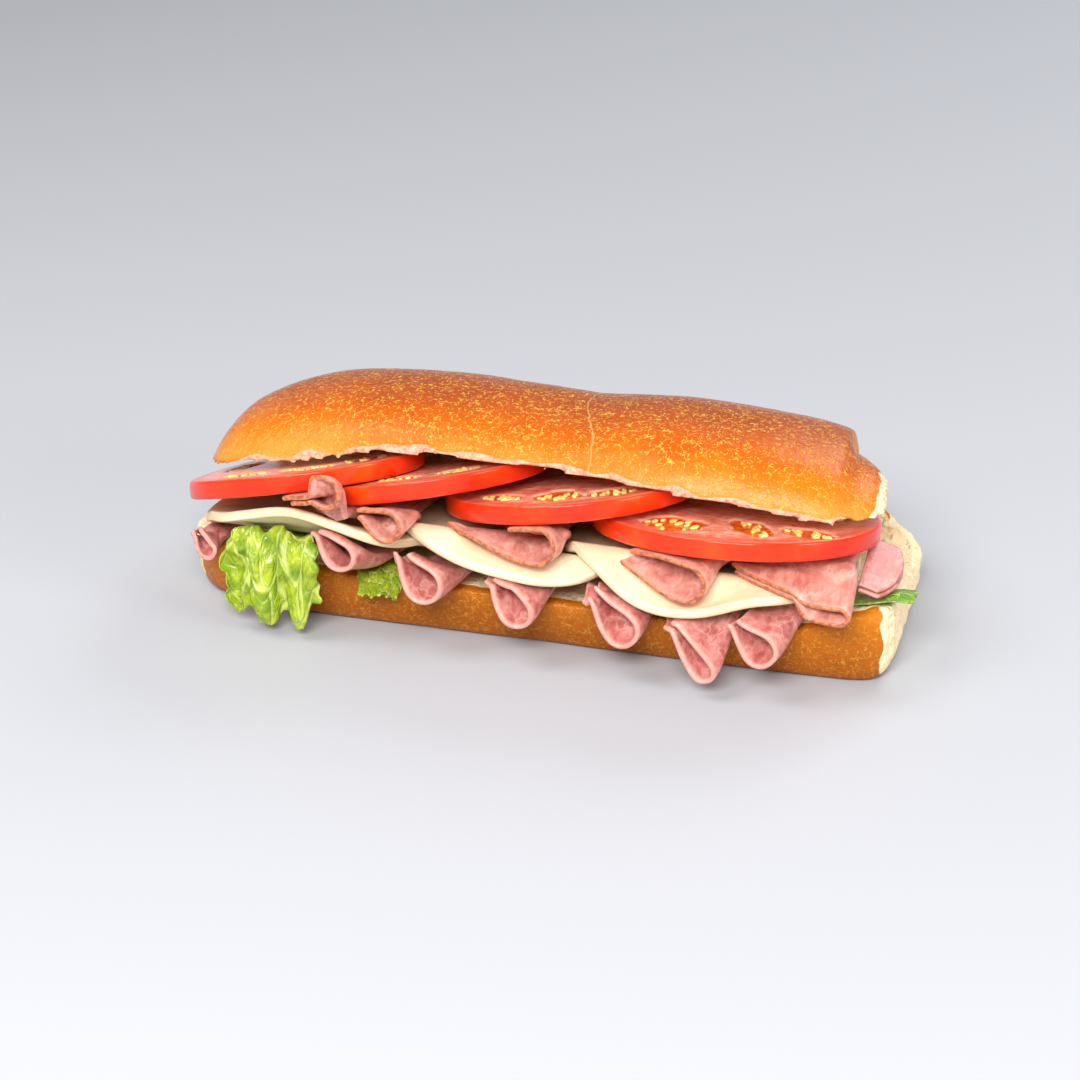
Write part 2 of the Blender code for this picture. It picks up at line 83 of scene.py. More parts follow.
HAM_THICKNESS = 1.2
HAM_LOOK_THICKNESS = 1.35
CHEESE_THICKNESS = 2.8
TOMATO_THICKNESS = 6.0
LEAF_THICKNESS = 0.7
LEAF_LOOK_THICKNESS = 0.45

FAN_FRONT_Y = -38.0
FAN_BACK_Y = 20.0
LOWER_HAM_FAN = (22.3, 15.2)
CHEESE_FAN = (25.6, 18.7)
UPPER_HAM_FAN = (36.5, 24.0)
SLICE_STEP = 3.3
HAM_RIM_RADIUS = 52.0
PLY_GAP = 0.9


def smooth(t):
    """Ease from 0 to 1."""
    t = min(1.0, max(0.0, t))
    return t * t * (3.0 - 2.0 * t)


def mix(a, b, t):
    return a + (b - a) * t


def waves(x, y, z):
    """Even noise between -1 and 1."""
    return noise.noise(Vector((x, y, z)))


def curve(stations, x):
    """Smooth curve through (x, value) stations, level beyond its ends."""
    xs = [s[0] for s in stations]
    vs = [s[1] for s in stations]
    if x <= xs[0]:
        return vs[0]
    if x >= xs[-1]:
        return vs[-1]
    i = next(k for k in range(len(xs) - 1) if x < xs[k + 1])
    last = len(xs) - 1
    before = max(i - 1, 0)
    after = min(i + 2, last)
    span = xs[i + 1] - xs[i]
    t = (x - xs[i]) / span
    slope_a = (vs[i + 1] - vs[before]) / (xs[i + 1] - xs[before]) * span
    slope_b = (vs[after] - vs[i]) / (xs[after] - xs[i]) * span
    h = t * t * (3.0 - 2.0 * t)
    return (
        mix(vs[i], vs[i + 1], h)
        + t * (1.0 - t) ** 2 * slope_a
        - t * t * (1.0 - t) * slope_b
    )


def fan(layer, y):
    """Height of a layer at depth y: straight lines that meet near the hinge."""
    return mix(layer[0], layer[1], (y - FAN_FRONT_Y) / (FAN_BACK_Y - FAN_FRONT_Y))


# Node-based materials


class Look:
    """A Principled material and short calls that add nodes to it."""

    def __init__(self, name):
        self.mat = bpy.data.materials.new(name)
        self.mat.use_nodes = True
        self.tree = self.mat.node_tree
        self.shader = self.tree.nodes["Principled BSDF"]
        coordinates = self.tree.nodes.new("ShaderNodeTexCoord")
        scale = self.tree.nodes.new("ShaderNodeVectorMath")
        scale.operation = "SCALE"
        scale.inputs["Scale"].default_value = 1.0 / MM
        self.tree.links.new(coordinates.outputs["Object"], scale.inputs[0])
        self.place = scale.outputs[0]

    def put(self, socket, value):
        if isinstance(value, bpy.types.NodeSocket):
            self.tree.links.new(value, socket)
        else:
            socket.default_value = value

    def set(self, **values):
        names = {name.lower().replace(" ", "_"): name for name in self.shader.inputs.keys()}
        for key, value in values.items():
            self.put(self.shader.inputs[names[key]], value)

    def math(self, operation, a, b=0.0, c=0.0, clamp=False):
        node = self.tree.nodes.new("ShaderNodeMath")
        node.operation = operation
        node.use_clamp = clamp
        for socket, value in zip(node.inputs, (a, b, c)):
            self.put(socket, value)
        return node.outputs[0]

    def times(self, a, b):
        return self.math("MULTIPLY", a, b)

    def step(self, value, low, high):
        """Eases from 0 at low to 1 at high."""
        node = self.tree.nodes.new("ShaderNodeMapRange")
        node.interpolation_type = "SMOOTHSTEP"
        self.put(node.inputs["Value"], value)
        for name, number in (("From Min", low), ("From Max", high)):
            node.inputs[name].default_value = number
        return node.outputs[0]

    def noise(self, scale, detail=3.0, roughness=0.55, distortion=0.0, vector=None):
        node = self.tree.nodes.new("ShaderNodeTexNoise")
        self.put(node.inputs["Vector"], vector or self.place)
        node.inputs["Scale"].default_value = scale
        node.inputs["Detail"].default_value = detail
        node.inputs["Roughness"].default_value = roughness
        node.inputs["Distortion"].default_value = distortion
        return node.outputs[0]

    def cells(self, scale, feature="F1", vector=None):
        node = self.tree.nodes.new("ShaderNodeTexVoronoi")
        node.feature = feature
        self.put(node.inputs["Vector"], vector or self.place)
        node.inputs["Scale"].default_value = scale
        return node.outputs["Distance"]

    def stretched(self, x, y, z, vector=None):
        node = self.tree.nodes.new("ShaderNodeVectorMath")
        node.operation = "MULTIPLY"
        self.put(node.inputs[0], vector or self.place)
        node.inputs[1].default_value = (x, y, z)
        return node.outputs[0]

    def wobbled(self, scale, amount, vector=None):
        """Coordinates pushed about by noise."""
        node = self.tree.nodes.new("ShaderNodeTexNoise")
        self.put(node.inputs["Vector"], vector or self.place)
        node.inputs["Scale"].default_value = scale
        node.inputs["Detail"].default_value = 2.0
        push = self.tree.nodes.new("ShaderNodeVectorMath")
        push.operation = "MULTIPLY_ADD"
        self.tree.links.new(node.outputs["Color"], push.inputs[0])
        push.inputs[1].default_value = (amount, amount, amount)
        self.put(push.inputs[2], vector or self.place)
        return push.outputs[0]

    def split(self, vector=None):
        node = self.tree.nodes.new("ShaderNodeSeparateXYZ")
        self.put(node.inputs[0], vector or self.place)
        return node.outputs

    def value(self, name):
        """A number kept at each point of the mesh."""
        node = self.tree.nodes.new("ShaderNodeAttribute")
        node.attribute_name = name
        return node.outputs["Fac"]

    def across(self):
        """The sheet's own coordinates, kept in its UV map."""
        node = self.tree.nodes.new("ShaderNodeUVMap")
        node.uv_map = "own"
        return node.outputs[0]

    def ramp(self, value, stops):
        node = self.tree.nodes.new("ShaderNodeValToRGB")
        self.put(node.inputs[0], value)
        elements = node.color_ramp.elements
        while len(elements) < len(stops):
            elements.new(0.5)
        for element, (position, colour) in zip(elements, stops):
            element.position = position
            element.color = (*colour, 1.0)
        return node.outputs[0]

    def blend(self, share, a, b, how="MIX"):
        node = self.tree.nodes.new("ShaderNodeMix")
        node.data_type = "RGBA"
        node.blend_type = how
        self.put(node.inputs["Factor"], share)
        for socket, value in ((node.inputs[6], a), (node.inputs[7], b)):
            self.put(socket, (*value, 1.0) if isinstance(value, tuple) else value)
        return node.outputs[2]

    def bump(self, height, distance, strength=1.0, under=None):
        node = self.tree.nodes.new("ShaderNodeBump")
        self.put(node.inputs["Height"], height)
        node.inputs["Distance"].default_value = distance * MM
        node.inputs["Strength"].default_value = strength
        if under is not None:
            self.tree.links.new(under, node.inputs["Normal"])
        return node.outputs[0]


# Mesh helpers


def keep_value(mesh, name, values):
    attribute = mesh.attributes.new(name, "FLOAT", "POINT")
    attribute.data.foreach_set("value", np.asarray(values, dtype=np.float32))


def finish_piece(obj, nodes):
    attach(obj, BODY)
    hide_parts(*nodes)
    return obj


def new_object(name, bm, look):
    mesh = bpy.data.meshes.new(name)
    bm.to_mesh(mesh)
    bm.free()
    mesh.shade_smooth()
    mesh.materials.append(look.mat)
    obj = bpy.data.objects.new(name, mesh)
    bpy.context.scene.collection.objects.link(obj)
    return obj


def applied(obj):
    """The object with its modifiers worked into its mesh."""
    graph = bpy.context.evaluated_depsgraph_get()
    made = bpy.data.meshes.new_from_object(obj.evaluated_get(graph))
    obj.modifiers.clear()
    obj.data = made
    return obj


def loft(name, rings, look):
    bm = bmesh.new()
    rows = [[bm.verts.new(p * MM) for p in ring] for ring in rings]
    count = len(rows[0])
    for row, following in zip(rows, rows[1:]):
        for k in range(count):
            n = (k + 1) % count
            bm.faces.new((row[k], row[n], following[n], following[k]))
    bm.faces.new(rows[0])
    bm.faces.new(rows[-1])
    bmesh.ops.recalc_face_normals(bm, faces=bm.faces)
    return new_object(name, bm, look)


def sheet(name, across, along, place, thickness, look, ripple=None):
    """Soft sheet: a fine grid put in place by a function, thickened and rounded."""
    bm = bmesh.new()
    bmesh.ops.create_grid(bm, x_segments=across, y_segments=along, size=1.0)
    own = [(v.co.x, v.co.y) for v in bm.verts]
    for vert, (u, v) in zip(bm.verts, own):
        vert.co = place(u, v) * MM
    if ripple is not None:
        bm.normal_update()
        moved = [vert.co + vert.normal * (ripple(u, v) * MM) for vert, (u, v) in zip(bm.verts, own)]
        for vert, co in zip(bm.verts, moved):
            vert.co = co
    layer = bm.loops.layers.uv.new("own")
    for face in bm.faces:
        for loop in face.loops:
            loop[layer].uv = own[loop.vert.index]
    obj = new_object(name, bm, look)
    skin = obj.modifiers.new("thickness", "SOLIDIFY")
    skin.thickness = thickness * MM
    skin.offset = 0.0
    soft = obj.modifiers.new("rounding", "SUBSURF")
    soft.levels = 1
    soft.render_levels = 1
    return applied(obj)


# Roll

ROLL_HEIGHT = ((-107, 24.0), (-105.5, 32.0), (-102.5, 39.0), (-96, 47.5), (-86, 54.5), (-73, 60.2),
               (-56, 63.8), (-36, 65.6), (-10, 65.0), (12, 63.4), (16, 63.6), (40, 65.3), (62, 64.4),
               (78, 62.2), (90, 59.2), (99, 54.8), (105, 52.5), (109, 49.0))
ROLL_WIDTH = ((-107, 9.0), (-105.5, 17.0), (-102.5, 23.5), (-96, 29.5), (-86, 34.0), (-70, 37.2),
              (-45, 38.0), (0, 37.6), (60, 38.0), (92, 37.4), (100, 36.4), (105, 34.0),
              (108, 30.0), (109, 27.0))
ROLL_BOTTOM = ((-107, 14.0), (-105.5, 8.0), (-102.5, 3.2), (-98, 0.6), (-94, 0.0), (102, 0.0),
               (106, 1.2), (108, 3.6), (109, 6.0))
LIP_Z = ((-112, 33.0), (-102, 37.5), (-91, 41.6), (-78, 45.9), (-66, 49.0), (-51, 52.4), (-37, 54.4),
         (-20, 54.4), (-6, 53.8), (29, 52.8), (64, 51.0), (80, 49.0), (98, 46.4), (130, 45.0))
ROOF_AT_HINGE = ((-112, 27.0), (-96, 33.0), (-80, 38.5), (130, 38.5))
SHELF_Z = ((-110, 17.6), (-84, 18.0), (-62, 17.0), (-11, 16.2), (43, 15.2), (75, 15.6),
           (88, 18.6), (97, 22.5), (130, 23.5))
CRUMB_END_X = 105.0
VOXEL = 1.05
SKIN_SOFTENING = 4
LIP_BAND = 2.6
LIP_REACH = 6.0
SHELF_RIM = -3.2
SHELF_TOP = 34.0
LEFT_CRUMB_X = -99.5
LEFT_CRUMB_Z = 19.0
TEAR_SIZE = 2.2
BAKE_TILT = (0.895, 0.446, 5.0)
BAKE_START = 15.0
BAKE_SPAN = 75.0


def quarter(angle, roundness):
    """Across and up shares of a rounded quarter, from its side at 0 to its top."""
    across = max(0.0, math.cos(angle)) ** (2.0 / roundness)
    up = max(0.0, math.sin(angle)) ** (2.0 / roundness)
    return across, up


def end_lean(x, y, z):
    """The upper half of the roll is a little shorter than the lower at both ends."""
    upper = smooth((z - 14.0) / 26.0)
    hinge = smooth((z - 12.0) / 14.0) * smooth((y + 10.0) / 30.0)
    right = (RIGHT_LEAN * upper + HINGE_LEAN * hinge) * smooth((x - 86.0) / 18.0)
    left = LEFT_LEAN * smooth((z - 22.0) / 14.0) * smooth((-88.0 - x) / 16.0)
    return left - right


def roll_ring(x):
    """Outline of the roll at x: a crown towards the open side, upright flanks, a flat base."""
    top = curve(ROLL_HEIGHT, x)
    wide = curve(ROLL_WIDTH, x)
    bottom = max(0.0, curve(ROLL_BOTTOM, x))
    base = wide * ROLL_BASE_HALF_WIDTH / ROLL_HALF_WIDTH
    crown = CROWN_Y * wide / ROLL_HALF_WIDTH
    middle = mix(bottom, top, RING_MIDDLE_Z / ROLL_TOP)
    quarter_turn = math.pi / 2.0
    outline = []
    for k in range(DOME_POINTS):
        across, up = quarter(quarter_turn * k / DOME_POINTS, BACK_ROUNDNESS)
        outline.append((crown + (wide - crown) * across, middle + (top - middle) * up))
    for k in range(DOME_POINTS):
        across, up = quarter(quarter_turn * (1.0 - k / DOME_POINTS), FRONT_ROUNDNESS)
        outline.append((crown - (wide + crown) * across, middle + (top - middle) * up))
    flank = []
    for k in range(FLANK_POINTS + 1):
        across, up = quarter(quarter_turn * k / FLANK_POINTS, FLANK_ROUNDNESS)
        flank.append((base + (wide - base) * across, middle - (middle - bottom) * up))
    outline += [(-y, z) for y, z in flank]
    outline += [(base * share, bottom) for share in (-0.8, -0.4, 0.0, 0.4, 0.8)]
    outline += flank[:0:-1]
    return [np.array((x + end_lean(x, y, z), y, z)) for y, z in outline]


def roll_stations():
    low, high = ROLL_ENDS
    near_left = [low, low + 0.25, low + 0.6, low + 1.1, low + 1.8, low + 2.8, low + 4.2]
    near_right = [high - 4.2, high - 3.0, high - 2.2, high - 1.5, high - 1.0, high - 0.5, high]
    count = int((near_right[0] - near_left[-1]) / RING_STEP)
    inner = np.linspace(near_left[-1], near_right[0], count + 1)[1:-1]
    return near_left + list(inner) + near_right


def floor_height(x, y):
    """Height of the cut face of the lower half, level at the lip and sinking to the hinge."""
    share = min(1.0, max(0.0, (y - SHELF_Y) / (FLOOR_END_Y - SHELF_Y)))
    return mix(curve(SHELF_Z, x), FLOOR_AT_HINGE, share)


def cut_ring(x):
    """Outline of the wedge at x, from the open side to the rounded hinge."""
    lip = curve(LIP_Z, x)
    shelf = curve(SHELF_Z, x)
    roof = curve(ROOF_AT_HINGE, x)
    ring = [
        (CUT_FRONT_Y, shelf - 2.0),
        (-46.0, shelf - 1.0),
        (-36.5, shelf - 0.4),
        (SHELF_Y, shelf),
        (-10.0, floor_height(x, -10.0)),
        (FLOOR_END_Y, FLOOR_AT_HINGE),
        (HINGE_Y - 1.2, FLOOR_AT_HINGE + 4.0),
        (HINGE_Y, mix(FLOOR_AT_HINGE, roof, 0.5)),
        (HINGE_Y - 1.5, roof - 5.0),
        (HINGE_Y - 7.0, roof),
        (8.0, mix(roof, lip, 0.50)),
        (-12.0, mix(roof, lip, 0.86)),
        (-31.0, lip + LIP_CURL),
        (LIP_Y, lip),
        (-40.0, lip + 1.5),
        (CUT_FRONT_Y, lip + 9.0),
    ]
    return [np.array((x, y, z)) for y, z in ring]


def tree_of(obj):
    graph = bpy.context.evaluated_depsgraph_get()
    return BVHTree.FromObject(obj, graph)


def roll_zones(spot, to_skin, to_cut):
    """How far a point is crumb, how well baked it is and how near the torn lip it lies."""
    x, y, z = spot
    torn = noise.noise(Vector((y, z, x)) * 0.16) * TEAR_SIZE
    near_cut = 1.0 if to_cut < LIP_REACH else 0.0
    lip = smooth((z - curve(LIP_Z, x) + 3.0) / 2.0) * smooth((-29.0 - y) / 3.0) * near_cut
    band = LIP_BAND * (0.75 + 0.5 * waves(x * 0.12, 3.0, 8.0))
    rim = SHELF_RIM * smooth((SHELF_TOP - z) / 4.0) * smooth((-22.0 - y) / 4.0)
    cut_side = smooth((to_skin - to_cut + mix(rim, band, lip)) / 0.9)
    right = smooth((x - end_lean(x, y, z) - CRUMB_END_X + torn) / 1.4)
    left = smooth((LEFT_CRUMB_X - x + torn) / 1.6) * smooth((LEFT_CRUMB_Z - z + torn) / 4.0)
    end = max(right, left)
    up, aside, middle = BAKE_TILT
    baked = (up * z - aside * abs(y - middle) + BAKE_START) / BAKE_SPAN
    return max(cut_side, end), baked, lip, end


def roll_push(spot, crumb, to_skin, end, lip):
    """Small swell of the crust and roughness of the crumb, along the normal."""
    rise = 0.35 * noise.noise(spot * 0.055) + 0.10 * noise.noise(spot * 0.3)
    rough = 0.55 * noise.noise(spot * 0.32) + 0.35 * noise.noise(spot * 0.75)
    push = mix(rise, (rough - 0.1) * smooth((to_skin - 0.4) / 3.0 + end), crumb)
    push *= 1.0 - 0.7 * lip
    return min(push, 0.0) if spot.z < 1.0 else push


def build_roll(look):
    whole = loft("roll_uncut", [roll_ring(x) for x in roll_stations()], look)
    reach = np.concatenate(([-CUT_OVERRUN], np.arange(-112.0, 113.0, 4.0), [CUT_OVERRUN]))
    wedge = loft("roll_wedge", [cut_ring(x) for x in reach], look)
    outer, inner = tree_of(whole), tree_of(wedge)
    piece = bpy.data.objects.new("roll_crust_and_crumb", whole.data.copy())
    bpy.context.scene.collection.objects.link(piece)
    cut = piece.modifiers.new("opened", "BOOLEAN")
    cut.operation = "DIFFERENCE"
    cut.object = wedge
    even = piece.modifiers.new("even", "REMESH")
    even.mode = "VOXEL"
    even.voxel_size = VOXEL * MM
    even.use_smooth_shade = True
    soft = piece.modifiers.new("soft", "SMOOTH")
    soft.factor = 0.5
    soft.iterations = SKIN_SOFTENING
    applied(piece)
    mesh = piece.data
    crumb, bake, painted_lip_shade_mask, places = [], [], [], []
    normals = [vert.normal.copy() for vert in mesh.vertices]
    for vert, normal in zip(mesh.vertices, normals):
        to_skin = outer.find_nearest(vert.co)[3] / MM
        to_cut = inner.find_nearest(vert.co)[3] / MM
        spot = vert.co / MM
        is_crumb, baked, lip, end = roll_zones(spot, to_skin, to_cut)
        crumb.append(is_crumb)
        bake.append(baked)
        painted_lip_shade_mask.append(lip)
        push = roll_push(spot, is_crumb, to_skin, end, lip)
        moved = spot + normal * push
        places.append((moved.x * MM, moved.y * MM, max(moved.z, 0.0) * MM))
    mesh.vertices.foreach_set("co", np.asarray(places, dtype=np.float32).ravel())
    keep_value(mesh, "crumb", crumb)
    keep_value(mesh, "bake", bake)
    keep_value(mesh, "painted_lip_shade_mask", painted_lip_shade_mask)
    mesh.materials.clear()
    mesh.materials.append(look.mat)
    mesh.shade_smooth()
    for spare in (whole, wedge):
        bpy.data.objects.remove(spare, do_unlink=True)
    return finish_piece(piece, ["bread_roll"])


def crust_look():
    look = Look("roll_crust")
    patches = look.noise(0.045, 2.0)
    mottle = look.noise(0.35, 4.0, 0.65)
    bake = look.value("bake")
    uneven = look.math("MULTIPLY_ADD", patches, 0.22, look.times(mottle, 0.16))
    baked = look.math("ADD", bake, look.math("SUBTRACT", uneven, 0.185))
    colour = look.ramp(baked, (
        (0.02, (0.33, 0.082, 0.003)), (0.20, (0.51, 0.142, 0.003)), (0.40, (0.62, 0.205, 0.008)),
        (0.58, (0.66, 0.250, 0.036)), (0.68, (0.60, 0.150, 0.002)), (0.77, (0.50, 0.090, 0.001)),
        (0.86, (0.40, 0.066, 0.001)), (0.96, (0.31, 0.048, 0.003))))
    zone = look.math("MULTIPLY_ADD", look.step(baked, 0.50, 0.74), 0.60, 0.40)
    bent = look.wobbled(0.5, 3.2)
    lines = look.cells(0.52, "DISTANCE_TO_EDGE", bent)
    broken = look.step(look.noise(0.62, 1.0), 0.43, 0.53)
    crackle = look.times(look.step(lines, 0.075, 0.02), broken)
    grains = look.step(look.cells(0.85, "F1", look.wobbled(1.2, 1.0)), 0.26, 0.14)
    grains = look.times(grains, look.step(look.noise(0.33, 2.0), 0.46, 0.58))
    marks = look.times(look.math("MAXIMUM", crackle, grains), zone)
    colour = look.blend(look.times(marks, 0.78), colour, (0.90, 0.49, 0.06))
    # Small pits pressed into the crust by the bump, with painted shade in them: their colour is darkened
    shaded_pits = look.step(look.cells(0.55, "F1", look.wobbled(0.7, 1.0)), 0.13, 0.07)
    shaded_pits = look.times(shaded_pits, look.step(look.noise(0.2, 1.0), 0.52, 0.62))
    colour = look.blend(look.times(shaded_pits, 0.55), colour, (0.30, 0.12, 0.03))
    parts = look.split()
    crease = look.math("MULTIPLY_ADD", look.step(parts[1], 4.0, -33.0), 8.0, 12.6)
    wander = look.math("MULTIPLY_ADD", look.noise(0.12, 2.0), 3.0, -1.5)
    aside = look.math("ABSOLUTE", look.math("SUBTRACT", parts[0], look.math("ADD", crease, wander)))
    crease_mark = look.times(look.step(aside, 0.55, 0.1), look.step(parts[2], 50.0, 55.0))
    colour = look.blend(look.times(crease_mark, 0.45), colour, (0.86, 0.46, 0.12))
    crumb_noise = look.noise(0.55, 4.0, 0.7)
    crumb_colour = look.ramp(crumb_noise, (
        (0.30, (0.80, 0.56, 0.30)), (0.48, (0.91, 0.72, 0.45)), (0.70, (0.96, 0.84, 0.61))))
    # Painted shade and painted reddish bounce light from the tomatoes: the crumb at the lip is made darker
    # and pinker than the rest of the crumb
    lip_painted_shade_and_bounce = look.ramp(crumb_noise, ((0.35, (0.58, 0.24, 0.15)), (0.60, (0.80, 0.45, 0.32))))
    crumb_colour = look.blend(look.value("painted_lip_shade_mask"), crumb_colour, lip_painted_shade_and_bounce)
    crumb = look.value("crumb")
    colour = look.blend(look.step(crumb, 0.35, 0.75), colour, crumb_colour)
    holes = look.step(look.cells(0.42, "F1", look.wobbled(0.6, 1.6)), 0.10, 0.42)
    crumb_height = look.math("MULTIPLY_ADD", crumb_noise, 0.8, holes)
    crust_height = look.math("MULTIPLY_ADD", marks, 0.40, look.times(mottle, 0.85))
    crust_height = look.math("SUBTRACT", crust_height, look.times(shaded_pits, 0.9))
    crust_height = look.math("SUBTRACT", crust_height, look.times(crease_mark, 0.8))
    low = look.bump(crust_height, 0.55, 0.9)
    both = look.bump(look.times(crumb_height, crumb), 0.7, 0.7, low)
    shine = look.math("MULTIPLY_ADD", mottle, 0.30, 0.10)
    rough = look.math("ADD", shine, look.times(crumb, 0.45), clamp=True)
    look.set(base_color=colour, roughness=rough, normal=both, subsurface_weight=0.06,
             subsurface_scale=0.003, specular_ior_level=0.20,
             subsurface_radius=(1.0, 0.5, 0.25))
    return look


# Tomato slices: centre of the upper face, half sizes, slopes along X and Y, sag of the left end,
# and the seed chambers: centre and half sizes as shares of the slice, and their turn in degrees

TOMATOES = {
    "tomato_1": dict(centre=(-69.0, -17.0, 41.7), half=(35.0, 33.5), slope=(0.22, -0.30), sag=3.0),
    "tomato_2": dict(centre=(-33.0, -12.0, 42.0), half=(35.0, 33.5), slope=(0.235, -0.29), sag=0.0),
    "tomato_3": dict(centre=(10.5, -11.0, 42.0), half=(37.0, 36.5), slope=(0.17, -0.25), sag=0.0),
    "tomato_4": dict(centre=(60.0, -14.5, 39.7), half=(41.5, 36.5), slope=(0.035, -0.24), sag=0.0),
}
CHAMBERS = {
    "tomato_1": (
        (-0.30, -0.62, 0.24, 0.13, -10), (0.22, -0.60, 0.26, 0.12, 10),
        (0.62, -0.30, 0.24, 0.12, 60), (-0.62, 0.10, 0.26, 0.14, 80),
        (-0.05, 0.60, 0.28, 0.14, 0), (0.50, 0.40, 0.24, 0.12, -40),
    ),
    "tomato_2": (
        (-0.10, -0.62, 0.24, 0.14, -8), (0.42, -0.52, 0.22, 0.13, 30),
        (-0.55, -0.25, 0.22, 0.12, 65), (-0.30, 0.50, 0.24, 0.13, -40),
        (0.35, 0.48, 0.26, 0.13, 40),
    ),
    "tomato_3": (
        (-0.42, -0.56, 0.20, 0.13, -20), (0.03, -0.58, 0.19, 0.22, 20),
        (0.45, -0.52, 0.22, 0.16, 25), (0.66, 0.05, 0.22, 0.12, 75),
        (-0.55, 0.30, 0.24, 0.12, 60), (0.15, 0.55, 0.26, 0.13, -5),
    ),
    "tomato_4": (
        (-0.36, -0.55, 0.23, 0.24, -12), (0.18, -0.48, 0.30, 0.13, -64),
        (0.56, -0.50, 0.22, 0.14, -30), (0.66, 0.12, 0.22, 0.12, 70),
        (-0.62, 0.15, 0.24, 0.13, 70), (0.05, 0.58, 0.26, 0.12, -5),
    ),
}
TOMATO_SIDES = 144
TOMATO_RINGS = 44
TOMATO_EDGE = 1.1
CHAMBER_DEPTH = 0.7


def tomato_top(shape, x, y):
    """Height of the upper face of a slice over or beyond its outline."""
    dx = x - shape["centre"][0]
    dy = y - shape["centre"][1]
    droop = max(0.0, -dx / shape["half"][0] - 0.25) ** 2
    return shape["centre"][2] + shape["slope"][0] * dx + shape["slope"][1] * dy - shape["sag"] * droop


def within(centre, half, x, y, roundness, margin):
    dx = abs(x - centre[0]) / (half[0] + margin[0])
    dy = abs(y - centre[1]) / (half[1] + margin[1])
    return dx ** roundness + dy ** roundness <= 1.0


def chamber_share(name, u, v):
    """1 inside a seed chamber, 0 on the flesh around it."""
    best = 0.0
    for cu, cv, long, wide, turn in CHAMBERS[name]:
        a = math.radians(turn)
        du, dv = u - cu, v - cv
        along = (du * math.cos(a) + dv * math.sin(a)) / long
        aside = (-du * math.sin(a) + dv * math.cos(a)) / wide
        wave = 0.35 * waves(u * 8.0, v * 8.0, cu * 7.0)
        best = max(best, smooth((1.06 - math.hypot(along, aside) + wave) / 0.22))
    return best


def build_tomato(name, shape, look):
    bm = bmesh.new()
    edge = TOMATO_EDGE / shape["half"][0]
    turns = [math.radians(a) for a in (90, 67, 45, 22, 0)]
    inner = [(k / TOMATO_RINGS * (1.0 - edge), 0.0) for k in range(TOMATO_RINGS + 1)]
    rounded = [(1.0 - edge + edge * math.cos(a), TOMATO_EDGE * (math.sin(a) - 1.0)) for a in turns[1:]]
    rims = inner + rounded
    belly = TOMATO_THICKNESS / 2.0
    rims += [(1.004, -belly)]
    rims += [(share, -TOMATO_THICKNESS - z) for share, z in reversed(rims[:-1])]
    profile = [bm.verts.new((share, 0.0, z)) for share, z in rims]
    edges = [bm.edges.new(pair) for pair in zip(profile, profile[1:])]
    bmesh.ops.spin(bm, geom=profile + edges, axis=(0, 0, 1), cent=(0, 0, 0),
                   steps=TOMATO_SIDES, angle=2.0 * math.pi)
    bmesh.ops.remove_doubles(bm, verts=bm.verts, dist=0.00002)
    gel, skin = [], []
    uv = []
    for vert in bm.verts:
        angle = math.atan2(vert.co.y, vert.co.x)
        u, v = vert.co.x, vert.co.y
        reach = math.hypot(u, v)
        lobes = 1.0 + 0.012 * math.cos(3.0 * angle + shape["centre"][0])
        upper = vert.co.z > -belly
        on_face = reach < 1.0 - edge * 0.6
        hollow = chamber_share(name, u, v) if on_face else 0.0
        drop = hollow * CHAMBER_DEPTH
        soft = 0.10 * waves(u * 14.0, v * 14.0, shape["centre"][0])
        lift = (soft - drop) if on_face else 0.0
        x = shape["centre"][0] + shape["half"][0] * lobes * u
        y = shape["centre"][1] + shape["half"][1] * lobes * v
        z = tomato_top(shape, x, y) + vert.co.z + (lift if upper else -lift)
        vert.co = (x * MM, y * MM, z * MM)
        gel.append(hollow)
        skin.append(smooth((reach - (1.0 - edge * 0.9)) / (edge * 0.5)))
        uv.append((u, v))
    bmesh.ops.recalc_face_normals(bm, faces=bm.faces)
    layer = bm.loops.layers.uv.new("own")
    for face in bm.faces:
        for loop in face.loops:
            loop[layer].uv = uv[loop.vert.index]
    obj = new_object(name + "_slice", bm, look)
    keep_value(obj.data, "gel", gel)
    keep_value(obj.data, "skin", skin)
    return finish_piece(obj, [name])


SEEDS_IN_CHAMBER = 11
SEED_HALF_SIZE = (1.35, 0.75, 0.50)
SEED_LIFT = 0.30


def build_seeds(name, shape, look):
    """Flat pale seeds that stand in the gel of the chambers, points towards the core."""
    rng = random.Random(SEED + len(name) + int(shape["centre"][0]))
    bm = bmesh.new()
    for cu, cv, long, wide, turn in CHAMBERS[name]:
        for k in range(SEEDS_IN_CHAMBER):
            a = math.radians(turn)
            t = (k + 0.5) / SEEDS_IN_CHAMBER * 2.0 - 1.0
            s = rng.uniform(-0.7, 0.7)
            along, aside = t * long * 0.82, s * wide * math.sqrt(max(0.0, 1.0 - t * t))
            u = cu + along * math.cos(a) - aside * math.sin(a)
            v = cv + along * math.sin(a) + aside * math.cos(a)
            x = shape["centre"][0] + shape["half"][0] * u
            y = shape["centre"][1] + shape["half"][1] * v
            z = tomato_top(shape, x, y) - CHAMBER_DEPTH + SEED_LIFT
            made = bmesh.ops.create_icosphere(bm, subdivisions=2, radius=1.0)["verts"]
            heading = math.atan2(v, u) + rng.uniform(-0.6, 0.6)
            size = rng.uniform(0.75, 1.2)
            tilt = rng.uniform(-0.35, 0.35)
            for vert in made:
                px, py, pz = vert.co
                taper = 1.0 - 0.45 * max(0.0, -px)
                long_half, wide_half, flat_half = SEED_HALF_SIZE
                lx = px * long_half * size
                ly = py * wide_half * size * taper
                lz = pz * flat_half * size + tilt * lx * 0.4
                wx = lx * math.cos(heading) - ly * math.sin(heading)
                wy = lx * math.sin(heading) + ly * math.cos(heading)
                vert.co = ((x + wx) * MM, (y + wy) * MM, (z + lz) * MM)
    obj = new_object(name + "_seeds", bm, look)
    return finish_piece(obj, [name])


